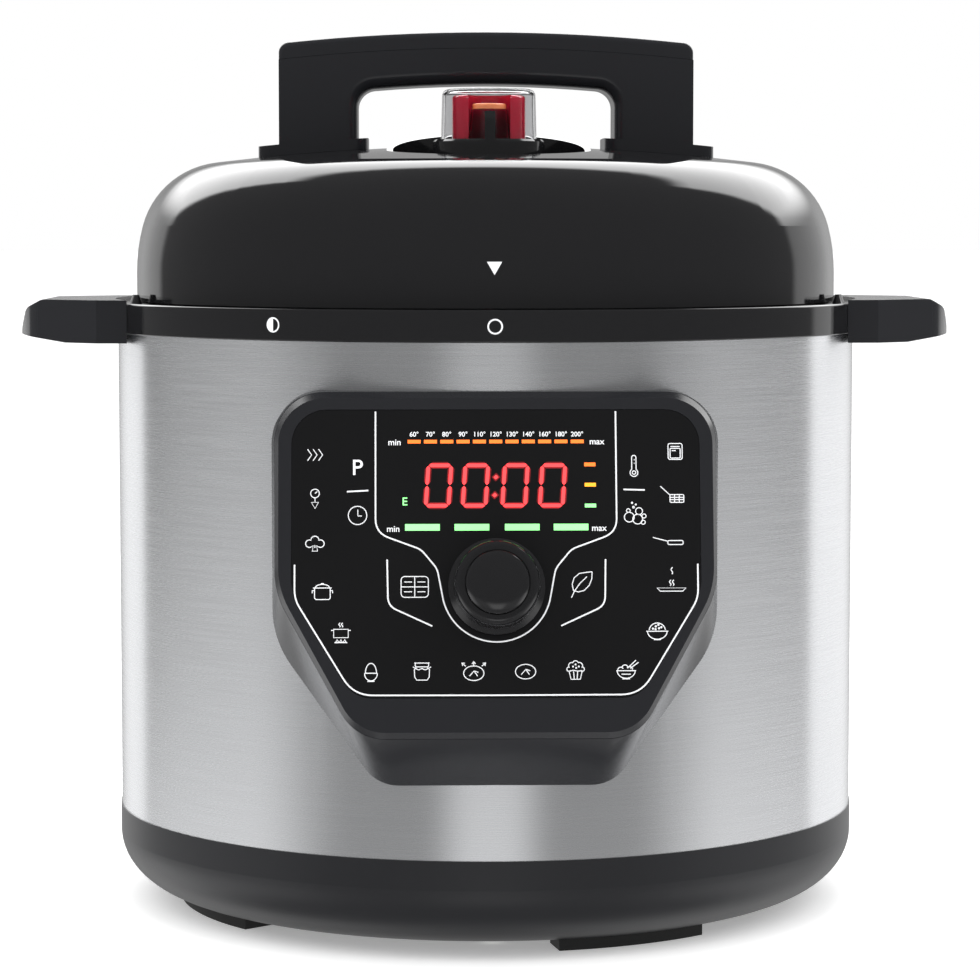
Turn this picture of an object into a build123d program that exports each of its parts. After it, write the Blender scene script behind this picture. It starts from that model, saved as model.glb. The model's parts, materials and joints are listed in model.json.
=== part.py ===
from build123d import *
import os
from math import cos, radians, sin, sqrt

# Electric pressure cooker, six litres, in millimetres.
# +Z is up, the control panel faces -Y, and the origin is on the resting plane, on the axis of the body.

# ---------------------------------------------------------------- driving dimensions
CLEARANCE = 0.3  # running gap between pieces that move past each other
SEAT_GAP = 0.1  # gap between two fixed pieces whose curved faces lie together

# Base tray
SHELL_RADIUS = 142.6  # outside of the brushed sleeve
SHELL_WALL = 0.8
BASE_RADIUS = SHELL_RADIUS + 0.4
FOOT_HEIGHT = 3.5
BASE_TOP = 37.5  # seam between the tray and the sleeve
BASE_WALL = 2.5
BASE_CURVE_WIDTH = 30.0  # the side curves under the tray over this much radius
BASE_CURVE_HEIGHT = 23.5
FOOT_COUNT = 4
FOOT_OUTER_RADIUS = 120.0
FOOT_WIDTH = 14.0
FOOT_ARC = 29.0  # degrees that one foot spans
FOOT_TURN = 26.0  # degrees from the front to the first foot
VENT_COUNT = 7
VENT_PITCH = 11.0
VENT_LENGTH = 44.0
VENT_WIDTH = 3.0
VENT_Y = 62.0

# Collar at the top of the body
COLLAR_RADIUS = SHELL_RADIUS + 0.9
COLLAR_TOP = 232.0
COLLAR_HEIGHT = 11.5
COLLAR_BOTTOM = COLLAR_TOP - COLLAR_HEIGHT
COLLAR_PLATE = 3.0
COLLAR_INNER_RADIUS = 133.2
COLLAR_EDGE = 0.9  # rounding of the collar's upper outer edge
COLLAR_LOW_EDGE = 0.5
TROUGH_OUTER_RADIUS = SHELL_RADIUS - 3.6  # the collar's inner skirt
TROUGH_WALL = 1.6
TROUGH_DEPTH = 6.0
STOP_AZIMUTH = 17.0  # degrees from the side handles to the domed lid stops
STOP_LENGTH = 10.5
STOP_WIDTH = 5.2
STOP_HEIGHT = 3.2

# Heat jacket round the pot, with the bayonet teeth at its mouth
JACKET_WALL = 1.0
JACKET_BOTTOM = 55.0
JACKET_FLOOR_HOLE_RADIUS = 99.5
JACKET_SHOULDER = COLLAR_TOP - 20.0
MOUTH_RADIUS = 131.3
MOUTH_WALL = 1.2
TOOTH_COUNT = 6
TOOTH_ARC = 24.0
TOOTH_TIP_RADIUS = 123.5
TOOTH_THICKNESS = 2.4

# Inner pot
POT_RADIUS = 111.2
POT_WALL = 1.2
POT_BOTTOM = 70.0
POT_RIM_TOP = COLLAR_TOP - 10.4
POT_RIM_RADIUS = 117.5
POT_CORNER = 12.0

# Heater, its elastic carrier and the heat sensor
PLATE_RADIUS = 98.0
PLATE_THICKNESS = 10.0
HEATER_RING_RADIUS = 70.0
HEATER_TUBE_RADIUS = 4.5
SENSOR_RADIUS = 15.0
SENSOR_CAP_HEIGHT = 5.5
SENSOR_STEM_RADIUS = 6.0
SENSOR_TRAVEL = 2.5
CARRIER_RADIUS = 105.0
CARRIER_THICKNESS = 2.0
CARRIER_BOTTOM = 47.0
STUD_RADIUS = 3.0

# Lid
LID_RADIUS = COLLAR_RADIUS - 8.2
LID_WALL = 2.5
LID_BOTTOM = COLLAR_TOP + CLEARANCE
LID_SIDE_TOP = COLLAR_TOP + 11.0  # top of the lid's upright side
LID_SIDE_CURVE = 70.0  # radius of the slow curve above the upright side
LID_SIDE_SWEEP = 15.0  # degrees
SHOULDER_RADIUS = 33.0
CROWN_SLOPE = 7.05  # degrees where the shoulder meets the crown
PAN_WALL = 1.4
PAN_RADIUS = 121.5
PAN_EDGE_Z = COLLAR_TOP - 6.2
PAN_CROWN_Z = COLLAR_TOP + 20.0
LID_TOOTH_RADIUS = 129.8
SEAL_INNER_RADIUS = 105.5
SEAL_OUTER_RADIUS = 114.3
SEAL_TOP = COLLAR_TOP - 2.0

# Bridge handle on the lid
HANDLE_HALF_SPAN = 79.7
HANDLE_LEG = 30.4  # width of one leg, seen from the front
HANDLE_DEPTH = 30.0
HANDLE_TOP = COLLAR_TOP + 103.4
HANDLE_END_DROP = 4.4  # the bar's ends are this much lower than its middle
HANDLE_BAR = 20.0
HANDLE_CAP = 6.2
HANDLE_INNER_RADIUS = 7.0
FOOT_PLATE_THICKNESS = 4.3
FOOT_PLATE_INSIDE = 3.9  # how far the foot plate reaches past the leg, inwards
FOOT_PLATE_OUTSIDE = 7.9
FOOT_PLATE_DEPTH = 38.0
FOOT_PLATE_CORNER = 6.0
HANDLE_SPLIT = 0.1  # parting gap under the cap
HANDLE_EDGE = 5.0
HANDLE_OUTER_CORNER = 4.0
CAP_EDGE = 2.0

# Valve head on the lid
VALVE_Y = -52.0
VALVE_POCKET_RADIUS = 38.2
VALVE_FLOOR = COLLAR_TOP + 54.8
VALVE_RING_RADIUS = 20.8
VALVE_RING_HEIGHT = 6.1
VALVE_HUB_RADIUS = 16.3  # the fixed hub that the selector ring turns on
POINTER_WIDTH = 3.9
POINTER_DEPTH = 3.0
POINTER_HEIGHT = 10.1
POINTER_SLOPE_HEIGHT = 2.8
POINTER_SLOPE_DEPTH = 1.8
TOWER_WALL = 1.25
TOWER_HEIGHT = 18.7
WEIGHT_RADIUS = 13.75
WEIGHT_HEIGHT = 16.4
VENT_PIPE_RADIUS = 3.0
VENT_PIPE_BACK = 7.0  # the steam pipe stands this far behind the middle of the valve
FLOAT_TUBE_RADIUS = 8.0
FLOAT_TUBE_TOP_RADIUS = 7.1
FLOAT_TUBE_WALL = 0.9
FLOAT_TUBE_HEIGHT = 10.8
FLOAT_STEM_RADIUS = 1.6
FLOAT_CAP_RADIUS = 6.3
FLOAT_CAP_HEIGHT = 2.0
FLOAT_TRAVEL = 3.5
GUARD_WALL = 2.3
GUARD_TILT = 10.3  # degrees by which the guard's top edge rises towards the handle
GUARD_MIDDLE = 2.6  # height of the guard over the pocket's floor, beside the middle of the valve

# Control panel. The corners of an outline are (half width, height over the dial's axis, radius), from the top down.
PANEL_TILT = 13.0  # degrees that the face leans back
PANEL_STAND = 19.2  # the face on the dial's axis stands this far in front of the sleeve
PANEL_AXIS_Z = 137.0
PANEL_FACE = ((75.4, 66.2, 16.0), (75.2, -0.6, 30.0), (48.1, -50.1, 16.4))
PANEL_RIM = ((76.8, 69.0, 17.5), (76.6, -1.0, 31.0), (48.7, -52.0, 17.5))
PANEL_SEAT = ((78.0, 66.5, 18.0), (78.0, -20.2, 35.0), (41.5, -72.2, 14.8))  # where the panel meets the sleeve
PANEL_RIM_DEPTH = 3.0
PANEL_EDGE = 1.0  # rounding round the face
PANEL_WALL = 2.5
PANEL_SKIRT = 31.0  # how far the side walls reach back from the front of the sleeve
GROOVE_WIDTH = 0.4  # parting groove behind the rim
GROOVE_DEPTH = 0.6
FILM_OUTLINE = ((70.8, 62.2, 12.2), (70.8, -2.2, 20.0), (49.3, -38.3, 11.4))
FILM_THICKNESS = 1.0
FILM_GAP = 0.15
FILM_DROP = 0.1  # the film's front lies this far below the face
BOARD_SETBACK = 12.0  # from the panel's face back to the control board
CONTROL_WIDTH = 108.0
CONTROL_HEIGHT = 74.0
CONTROL_UP = 16.0
CONTROL_HOLE_INSET = 5.0
STANDOFF_RADIUS = 3.0
DIAL_RADIUS = 16.7
DIAL_HEIGHT = 15.0
DIAL_CAP_RADIUS = 10.9
DIAL_CAP_RISE = 4.0
DIAL_PRESS = 1.5
DIAL_BORE_RADIUS = 9.0
DISPLAY_UP = 37.0  # from the dial's axis up to the middle of the display
DISPLAY_WIDTH = 76.0
DISPLAY_HEIGHT = 40.0
DISPLAY_CORNER = 2.0
STEM_RADIUS = 4.2
ENCODER_SIZE = 13.0
ENCODER_HEIGHT = 6.0
ENCODER_SHAFT_RADIUS = 3.0
ENCODER_SHAFT_HEIGHT = 3.0
RIBBON_WIDTH = 16.0
RIBBON_THICKNESS = 0.8
RIBBON_X = -30.0

# Side handles
GRIP_LENGTH = 36.7  # from the collar to the grip's end
GRIP_TOP = COLLAR_TOP + 1.2
GRIP_UNDERSIDE = COLLAR_TOP - 15.0
GRIP_END_RISE = 2.7  # the underside is this much higher at the end
GRIP_END_SLOPE = 3.4  # the end leans in by this much up to its rounding
GRIP_END_ROUNDING = 7.0
GRIP_HALF_WIDTH = 46.0
GRIP_END_HALF_WIDTH = 26.0
GRIP_END_BULGE = 7.0  # the end bows out by this much between its corners
GRIP_CORNER = 16.0
GRIP_EDGE = 1.6
GRIP_LOW_EDGE = 1.2
GRIP_WALL = 5.0
RECESS_LENGTH = 19.0
RECESS_HALF_WIDTH = 25.0
RECESS_CORNER = 6.0

# Rear: condensation cup and mains inlet
CUP_HALF_WIDTH = 28.2
CUP_BACK_Y = COLLAR_RADIUS + 34.0
CUP_HEIGHT = 40.0
CUP_WALL = 1.6
CUP_RIM_TOP = COLLAR_TOP - 10.7
CUP_RIM_THICKNESS = 1.8
CUP_RIM_REACH = 3.0
RAIL_REACH = 18.0
RAIL_WALL = 2.0
INLET_WIDTH = 32.0
INLET_HEIGHT = 26.0
INLET_Z = 64.0
INLET_FACE_Y = SHELL_RADIUS + 2.0
INLET_DEPTH = 25.0
INLET_MOUTH_WIDTH = 24.0
INLET_MOUTH_HEIGHT = 17.0
INLET_MOUTH_DEPTH = 17.0
PIN_MOUTH_GAP = 5.0
LEAD_RADIUS = 1.5

# Power board, its posts and its parts
BOARD_X = -38.0
BOARD_Y = 0.0
BOARD_Z = 20.0
BOARD_WIDTH = 78.0
BOARD_LENGTH = 96.0
BOARD_THICKNESS = 1.6
POST_INSET = 5.0
POST_RADIUS = 4.0
POST_HOLE_RADIUS = 1.5

# ---------------------------------------------------------------- values that follow from those
BASE_FLAT_RADIUS = BASE_RADIUS - BASE_CURVE_WIDTH
BASE_FLOOR_TOP = FOOT_HEIGHT + BASE_WALL
PLATE_TOP = POT_BOTTOM
PLATE_BOTTOM = PLATE_TOP - PLATE_THICKNESS
JACKET_RADIUS = POT_RADIUS + 2.0
CARRIER_TOP = CARRIER_BOTTOM + CARRIER_THICKNESS

SIDE_CENTRE_X = LID_RADIUS - LID_SIDE_CURVE
SIDE_END_X = SIDE_CENTRE_X + LID_SIDE_CURVE * cos(radians(LID_SIDE_SWEEP))
SIDE_END_Z = LID_SIDE_TOP + LID_SIDE_CURVE * sin(radians(LID_SIDE_SWEEP))
SHOULDER_CENTRE_X = SIDE_END_X - SHOULDER_RADIUS * cos(radians(LID_SIDE_SWEEP))
SHOULDER_CENTRE_Z = SIDE_END_Z - SHOULDER_RADIUS * sin(radians(LID_SIDE_SWEEP))
SHOULDER_END_X = SHOULDER_CENTRE_X + SHOULDER_RADIUS * sin(radians(CROWN_SLOPE))
SHOULDER_END_Z = SHOULDER_CENTRE_Z + SHOULDER_RADIUS * cos(radians(CROWN_SLOPE))
CROWN_RADIUS = SHOULDER_END_X / sin(radians(CROWN_SLOPE))
CROWN_CENTRE_Z = SHOULDER_END_Z - CROWN_RADIUS * cos(radians(CROWN_SLOPE))
CROWN_TOP = CROWN_CENTRE_Z + CROWN_RADIUS

VALVE_RING_TOP = VALVE_FLOOR + CLEARANCE + VALVE_RING_HEIGHT
TOWER_RADIUS = VALVE_HUB_RADIUS + CLEARANCE + TOWER_WALL
PIPE_Y = VALVE_Y + VENT_PIPE_BACK
FLOAT_Y = VALVE_Y - (VALVE_HUB_RADIUS - FLOAT_TUBE_RADIUS - 0.1)
FLOAT_CAP_BOTTOM = VALVE_RING_TOP + FLOAT_TUBE_HEIGHT + CLEARANCE
PAN_EDGE_TOP = PAN_EDGE_Z + PAN_WALL
TOOTH_BOTTOM = PAN_EDGE_TOP + CLEARANCE
PAN_SHOULDER_RADIUS = SEAL_INNER_RADIUS - 2.5
PAN_SHOULDER_Z = SEAL_TOP + CLEARANCE + PAN_WALL
PAN_CROWN_RADIUS = (PAN_SHOULDER_RADIUS**2 + (PAN_CROWN_Z - PAN_SHOULDER_Z) ** 2) / (PAN_CROWN_Z - PAN_SHOULDER_Z) / 2

PANEL_NORMAL = (0, -cos(radians(PANEL_TILT)), sin(radians(PANEL_TILT)))
FACE_PLANE = Plane(origin=(0, -SHELL_RADIUS - PANEL_STAND, PANEL_AXIS_Z), x_dir=(1, 0, 0), z_dir=PANEL_NORMAL)
SEAT_PLANE = Plane(origin=(0, -SHELL_RADIUS, PANEL_AXIS_Z), x_dir=(1, 0, 0), z_dir=(0, -1, 0))
RIM_PLANE = FACE_PLANE.offset(-PANEL_RIM_DEPTH)

pieces = []


def keep(builder, name):
    """Labels a finished piece and adds it to what is written at the end."""
    builder.part.label = name
    pieces.append(builder.part)


def crown_height(radius):
    """Height of the lid's outer crown at a distance from the axis."""
    return CROWN_CENTRE_Z + sqrt(CROWN_RADIUS**2 - radius**2)


def pan_height(radius):
    """Height of the inner lid's upper side at a distance from the axis."""
    return PAN_CROWN_Z - PAN_CROWN_RADIUS + sqrt(PAN_CROWN_RADIUS**2 - radius**2)


def ring_sectors(inner_radius, outer_radius, arc, count, first):
    """Sketches count equal sectors of a ring, the first one centred on the angle first."""
    for number in range(count):
        start = first + number * 360.0 / count - arc / 2
        with BuildLine() as outline:
            outer = CenterArc((0, 0), outer_radius, start, arc)
            inner = CenterArc((0, 0), inner_radius, start, arc)
            Line(outer @ 0, inner @ 0)
            Line(outer @ 1, inner @ 1)
        make_face(outline.edges())


# ---------------------------------------------------------------- base
with BuildPart() as base_tray:
    with BuildSketch(Plane.XZ):
        with BuildLine():
            floor_z = FOOT_HEIGHT
            curve_z = FOOT_HEIGHT + BASE_CURVE_HEIGHT
            inner_curve_x = BASE_CURVE_WIDTH - BASE_WALL
            inner_curve_z = BASE_CURVE_HEIGHT - BASE_WALL
            lip_radius = SHELL_RADIUS - SHELL_WALL - 0.2
            lip_top = BASE_TOP + 7.0
            lip_inner = lip_radius - 1.6
            Polyline((0, BASE_FLOOR_TOP), (0, floor_z), (BASE_FLAT_RADIUS, floor_z))
            EllipticalCenterArc((BASE_FLAT_RADIUS, curve_z), BASE_CURVE_WIDTH, BASE_CURVE_HEIGHT, -90, arc_size=90)
            Polyline(
                (BASE_RADIUS, curve_z),
                (BASE_RADIUS, BASE_TOP),
                (lip_radius, BASE_TOP),
                (lip_radius, lip_top),
                (lip_inner, lip_top),
                (lip_inner, BASE_TOP - 4.0),
                (BASE_RADIUS - BASE_WALL, BASE_TOP - 5.0),
                (BASE_RADIUS - BASE_WALL, curve_z),
            )
            EllipticalCenterArc((BASE_FLAT_RADIUS, curve_z), inner_curve_x, inner_curve_z, -90, arc_size=90)
            Line((BASE_FLAT_RADIUS, BASE_FLOOR_TOP), (0, BASE_FLOOR_TOP))
        make_face()
    revolve(axis=Axis.Z)
    # cooling slots in the floor
    with BuildSketch(Plane.XY.offset(floor_z)):
        with Locations((0, VENT_Y), (0, -VENT_Y)):
            with GridLocations(VENT_PITCH, 0, VENT_COUNT, 1):
                SlotOverall(VENT_LENGTH, VENT_WIDTH, rotation=90)
    extrude(amount=BASE_WALL, mode=Mode.SUBTRACT)
    # posts that carry the power board
    with BuildSketch(Plane.XY.offset(BASE_FLOOR_TOP)):
        with Locations((BOARD_X, BOARD_Y)):
            with GridLocations(BOARD_WIDTH - 2 * POST_INSET, BOARD_LENGTH - 2 * POST_INSET, 2, 2):
                Circle(POST_RADIUS)
                Circle(POST_HOLE_RADIUS, mode=Mode.SUBTRACT)
    extrude(amount=BOARD_Z - BASE_FLOOR_TOP)
keep(base_tray, "base_tray")

with BuildPart() as rubber_feet:
    with BuildSketch(Plane.XY):
        ring_sectors(FOOT_OUTER_RADIUS - FOOT_WIDTH, FOOT_OUTER_RADIUS, FOOT_ARC, FOOT_COUNT, -90 + FOOT_TURN)
    extrude(amount=FOOT_HEIGHT + BASE_WALL / 2)
    add(base_tray.part, mode=Mode.SUBTRACT)
keep(rubber_feet, "rubber_feet")


# ---------------------------------------------------------------- sleeve and collar
WINDOW_HALF_WIDTH, WINDOW_BOTTOM, WINDOW_TOP, WINDOW_CORNER = 60.0, 96.0, 196.0, 8.0
with BuildPart() as outer_shell:
    shell_top = COLLAR_TOP - COLLAR_PLATE - 0.2
    with BuildSketch(Plane.XY.offset(BASE_TOP)):
        Circle(SHELL_RADIUS)
        Circle(SHELL_RADIUS - SHELL_WALL, mode=Mode.SUBTRACT)
    extrude(amount=shell_top - BASE_TOP)
    # window behind the control panel
    with BuildSketch(Plane.XZ.offset(SHELL_RADIUS + 5)):
        with Locations((0, (WINDOW_BOTTOM + WINDOW_TOP) / 2)):
            RectangleRounded(2 * WINDOW_HALF_WIDTH, WINDOW_TOP - WINDOW_BOTTOM, WINDOW_CORNER)
    extrude(amount=-SHELL_RADIUS, mode=Mode.SUBTRACT)
    # opening for the mains inlet
    with BuildSketch(Plane.XZ.offset(-SHELL_RADIUS + 30)):
        with Locations((0, INLET_Z)):
            Rectangle(INLET_WIDTH + 2 * SEAT_GAP, INLET_HEIGHT + 2 * SEAT_GAP)
    extrude(amount=-40, mode=Mode.SUBTRACT)
keep(outer_shell, "outer_shell")

with BuildPart() as collar_ring:
    with BuildSketch(Plane.XZ):
        plate_bottom = COLLAR_TOP - COLLAR_PLATE
        skirt_inner = SHELL_RADIUS + 0.15
        trough_bottom = COLLAR_BOTTOM - TROUGH_DEPTH
        trough_inner = TROUGH_OUTER_RADIUS - TROUGH_WALL
        with BuildLine():
            Polyline(
                (COLLAR_INNER_RADIUS, COLLAR_TOP),
                (COLLAR_RADIUS, COLLAR_TOP),
                (COLLAR_RADIUS, COLLAR_BOTTOM),
                (skirt_inner, COLLAR_BOTTOM),
                (skirt_inner, plate_bottom),
                (TROUGH_OUTER_RADIUS, plate_bottom),
                (TROUGH_OUTER_RADIUS, trough_bottom),
                (trough_inner, trough_bottom),
                (trough_inner, plate_bottom),
                (COLLAR_INNER_RADIUS, plate_bottom),
                close=True,
            )
        make_face()
    revolve(axis=Axis.Z)
    rim_edges = collar_ring.edges().filter_by(GeomType.CIRCLE).filter_by(lambda e: abs(e.radius - COLLAR_RADIUS) < 0.01)
    fillet(rim_edges.group_by(Axis.Z)[-1], COLLAR_EDGE)
    rim_edges = collar_ring.edges().filter_by(GeomType.CIRCLE).filter_by(lambda e: abs(e.radius - COLLAR_RADIUS) < 0.01)
    fillet(rim_edges.group_by(Axis.Z)[0], COLLAR_LOW_EDGE)
    # domed lid stops in front of the side handles
    stop_circle = (LID_RADIUS + COLLAR_RADIUS) / 2 - 0.4
    for azimuth in (180 + STOP_AZIMUTH, 360 - STOP_AZIMUTH):
        with BuildSketch(Plane.XY.offset(COLLAR_TOP - 1.0)):
            with Locations(Rotation(0, 0, azimuth) * Pos(stop_circle, 0, 0)):
                Ellipse(STOP_WIDTH / 2, STOP_LENGTH / 2)
        extrude(amount=STOP_HEIGHT + 1.0, taper=20)
keep(collar_ring, "collar_ring")


with BuildPart() as heat_jacket:
    with BuildSketch(Plane.XZ):
        with BuildLine():
            flange_z = COLLAR_TOP - COLLAR_PLATE - 0.1
            mouth_outer = MOUTH_RADIUS + MOUTH_WALL
            flange_radius = TROUGH_OUTER_RADIUS - TROUGH_WALL - 0.4
            Polyline(
                (JACKET_FLOOR_HOLE_RADIUS, JACKET_BOTTOM),
                (JACKET_RADIUS + JACKET_WALL, JACKET_BOTTOM),
                (JACKET_RADIUS + JACKET_WALL, JACKET_SHOULDER),
                (mouth_outer, JACKET_SHOULDER),
                (mouth_outer, flange_z - 1.0),
                (flange_radius, flange_z - 1.0),
                (flange_radius, flange_z),
                (mouth_outer, flange_z),
                (mouth_outer, TOOTH_BOTTOM + TOOTH_THICKNESS),
                (MOUTH_RADIUS, TOOTH_BOTTOM + TOOTH_THICKNESS),
                (MOUTH_RADIUS, JACKET_SHOULDER + JACKET_WALL),
                (JACKET_RADIUS, JACKET_SHOULDER + JACKET_WALL),
                (JACKET_RADIUS, JACKET_BOTTOM + JACKET_WALL),
                (JACKET_FLOOR_HOLE_RADIUS, JACKET_BOTTOM + JACKET_WALL),
                close=True,
            )
        make_face()
    revolve(axis=Axis.Z)
    with BuildSketch(Plane.XY.offset(TOOTH_BOTTOM)):
        ring_sectors(TOOTH_TIP_RADIUS, MOUTH_RADIUS + MOUTH_WALL / 2, TOOTH_ARC, TOOTH_COUNT, -90)
    extrude(amount=TOOTH_THICKNESS)
keep(heat_jacket, "heat_jacket")


# ---------------------------------------------------------------- pot, heater and sensor
with BuildPart() as inner_pot:
    with BuildSketch(Plane.XZ):
        with BuildLine():
            Polyline(
                (0, POT_BOTTOM),
                (POT_RADIUS, POT_BOTTOM),
                (POT_RADIUS, POT_RIM_TOP - POT_WALL),
                (POT_RIM_RADIUS, POT_RIM_TOP - POT_WALL),
                (POT_RIM_RADIUS, POT_RIM_TOP),
                (POT_RADIUS - POT_WALL, POT_RIM_TOP),
                (POT_RADIUS - POT_WALL, POT_BOTTOM + POT_WALL + 0.3),
                (0, POT_BOTTOM + POT_WALL + 0.3),
                close=True,
            )
        make_face()
    revolve(axis=Axis.Z)
    fillet(inner_pot.edges().filter_by(lambda e: abs(e.center().Z - POT_BOTTOM) < 0.01 and e.length > 600), POT_CORNER)
    fillet(
        inner_pot.edges().filter_by(
            lambda e: abs(e.center().Z - POT_BOTTOM - POT_WALL - 0.3) < 0.01 and e.length > 600
        ),
        POT_CORNER - POT_WALL,
    )
keep(inner_pot, "inner_pot")

with BuildPart() as heating_plate:
    with BuildSketch(Plane.XY.offset(PLATE_BOTTOM)):
        Circle(PLATE_RADIUS)
        Circle(SENSOR_RADIUS + 1.5, mode=Mode.SUBTRACT)
    extrude(amount=PLATE_THICKNESS)
    chamfer(heating_plate.edges().group_by(Axis.Z)[-1], 0.8)
    with BuildSketch(Plane.XZ):
        with Locations((HEATER_RING_RADIUS, PLATE_BOTTOM)):
            Circle(HEATER_TUBE_RADIUS + SEAT_GAP)
    revolve(axis=Axis.Z, mode=Mode.SUBTRACT)
keep(heating_plate, "heating_plate")

TERMINAL_RADIUS, TERMINAL_LENGTH, TERMINAL_SPREAD = 2.6, 15.0, 9.0
with BuildPart() as heater_tube:
    with BuildSketch(Plane.XZ):
        with Locations((HEATER_RING_RADIUS, PLATE_BOTTOM)):
            Circle(HEATER_TUBE_RADIUS)
    revolve(axis=Axis.Z)
    terminal_y = sqrt(HEATER_RING_RADIUS**2 - TERMINAL_SPREAD**2)
    with BuildSketch(Plane.XY.offset(PLATE_BOTTOM - TERMINAL_LENGTH)):
        with Locations((-TERMINAL_SPREAD, terminal_y), (TERMINAL_SPREAD, terminal_y)):
            Circle(TERMINAL_RADIUS)
    extrude(amount=TERMINAL_LENGTH)
keep(heater_tube, "heater_tube")

STUD_CIRCLE = 52.0
JACKET_STUD_CIRCLE = 102.0
with BuildPart() as carrier_plate:
    with BuildSketch(Plane.XY.offset(CARRIER_BOTTOM)):
        Circle(CARRIER_RADIUS)
        Circle(SENSOR_STEM_RADIUS + CLEARANCE, mode=Mode.SUBTRACT)
        with PolarLocations(STUD_CIRCLE + 26.0, 3, start_angle=90):
            Circle(19.0, mode=Mode.SUBTRACT)
    extrude(amount=CARRIER_THICKNESS)
keep(carrier_plate, "carrier_plate")

with BuildPart() as plate_studs:
    with BuildSketch(Plane.XY.offset(CARRIER_TOP)):
        with PolarLocations(STUD_CIRCLE, 3, start_angle=30):
            Circle(STUD_RADIUS)
    extrude(amount=PLATE_BOTTOM - CARRIER_TOP)
keep(plate_studs, "plate_studs")

with BuildPart() as jacket_studs:
    with BuildSketch(Plane.XY.offset(CARRIER_TOP)):
        with PolarLocations(JACKET_STUD_CIRCLE, 3, start_angle=30):
            Circle(STUD_RADIUS - 0.6)
    extrude(amount=JACKET_BOTTOM - CARRIER_TOP)
keep(jacket_studs, "jacket_studs")

with BuildPart() as base_columns:
    with BuildSketch(Plane.XY.offset(BASE_FLOOR_TOP)):
        with PolarLocations(JACKET_STUD_CIRCLE, 3, start_angle=30):
            Circle(STUD_RADIUS + 1.0)
    extrude(amount=CARRIER_BOTTOM - BASE_FLOOR_TOP)
keep(base_columns, "base_columns")

SENSOR_TOP = POT_BOTTOM - CLEARANCE
with BuildPart() as sensor_cap:
    with BuildSketch(Plane.XY.offset(SENSOR_TOP - SENSOR_CAP_HEIGHT)):
        Circle(SENSOR_RADIUS)
    extrude(amount=SENSOR_CAP_HEIGHT)
    fillet(sensor_cap.edges().group_by(Axis.Z)[-1], 1.5)
    with BuildSketch(Plane.XY.offset(CARRIER_BOTTOM - 5.0)):
        Circle(SENSOR_STEM_RADIUS)
    extrude(amount=SENSOR_TOP - SENSOR_CAP_HEIGHT - CARRIER_BOTTOM + 5.0)
keep(sensor_cap, "sensor_cap")

SENSOR_SPRING_RADIUS, SENSOR_WIRE, SENSOR_SPRING_TURNS = 9.0, 0.6, 5
with BuildPart() as sensor_spring:
    spring_bottom = CARRIER_TOP + SENSOR_WIRE + 0.05
    spring_top = SENSOR_TOP - SENSOR_CAP_HEIGHT - SENSOR_WIRE - 0.05
    spring_height = spring_top - spring_bottom
    with BuildLine() as spring_line:
        Helix(
            pitch=spring_height / SENSOR_SPRING_TURNS,
            height=spring_height,
            radius=SENSOR_SPRING_RADIUS,
            center=(0, 0, spring_bottom),
        )
    with BuildSketch(Plane(origin=spring_line.line @ 0, z_dir=spring_line.line % 0)):
        Circle(SENSOR_WIRE)
    sweep(path=spring_line.line)
keep(sensor_spring, "sensor_spring")

with BuildPart() as thermal_fuse:
    fuse_radius = 2.4
    fuse_y = -38.0
    with BuildSketch(Plane.YZ.offset(-14.0)):
        with Locations((fuse_y, PLATE_BOTTOM - fuse_radius)):
            Circle(fuse_radius)
    extrude(amount=28.0)
keep(thermal_fuse, "thermal_fuse")

with BuildPart() as pressure_switch:
    with BuildSketch(Plane.XY.offset(CARRIER_BOTTOM - 14.0)):
        with Locations((34.0, -30.0)):
            Rectangle(24.0, 12.0)
    extrude(amount=14.0)
    with BuildSketch(Plane.XY.offset(CARRIER_BOTTOM - 20.0)):
        with Locations((34.0, -30.0)):
            with GridLocations(12.0, 0, 2, 1):
                Rectangle(1.0, 5.0)
    extrude(amount=6.0)
keep(pressure_switch, "pressure_switch")

with BuildPart() as power_board:
    with BuildSketch(Plane.XY.offset(BOARD_Z)):
        with Locations((BOARD_X, BOARD_Y)):
            Rectangle(BOARD_WIDTH, BOARD_LENGTH)
            with GridLocations(BOARD_WIDTH - 2 * POST_INSET, BOARD_LENGTH - 2 * POST_INSET, 2, 2):
                Circle(POST_HOLE_RADIUS + 0.1, mode=Mode.SUBTRACT)
    extrude(amount=BOARD_THICKNESS)
keep(power_board, "power_board")

with BuildPart() as board_screws:
    with BuildSketch(Plane.XY.offset(BOARD_Z + BOARD_THICKNESS)):
        with Locations((BOARD_X, BOARD_Y)):
            with GridLocations(BOARD_WIDTH - 2 * POST_INSET, BOARD_LENGTH - 2 * POST_INSET, 2, 2):
                Circle(3.0)
    extrude(amount=1.8)
    with BuildSketch(Plane.XY.offset(BOARD_Z - 8.0)):
        with Locations((BOARD_X, BOARD_Y)):
            with GridLocations(BOARD_WIDTH - 2 * POST_INSET, BOARD_LENGTH - 2 * POST_INSET, 2, 2):
                Circle(POST_HOLE_RADIUS - 0.05)
    extrude(amount=8.0 + BOARD_THICKNESS)
keep(board_screws, "board_screws")

with BuildPart() as board_components:
    component_z = BOARD_Z + BOARD_THICKNESS
    # transformer, relay, two capacitors and the terminal block: centre, width, length and height
    for x, y, width, length, height in (
        (BOARD_X - 12, BOARD_Y + 18, 32.0, 27.0, 22.0),
        (BOARD_X + 18, BOARD_Y + 20, 16.0, 20.0, 16.0),
        (BOARD_X - 2, BOARD_Y - 34, 44.0, 12.0, 11.0),
    ):
        with BuildSketch(Plane.XY.offset(component_z)):
            with Locations((x, y)):
                RectangleRounded(width, length, 1.0)
        extrude(amount=height)
    with BuildSketch(Plane.XY.offset(component_z)):
        with Locations((BOARD_X - 18, BOARD_Y - 12), (BOARD_X + 4, BOARD_Y - 10)):
            Circle(6.5)
    extrude(amount=18.0)
keep(board_components, "board_components")


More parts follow.
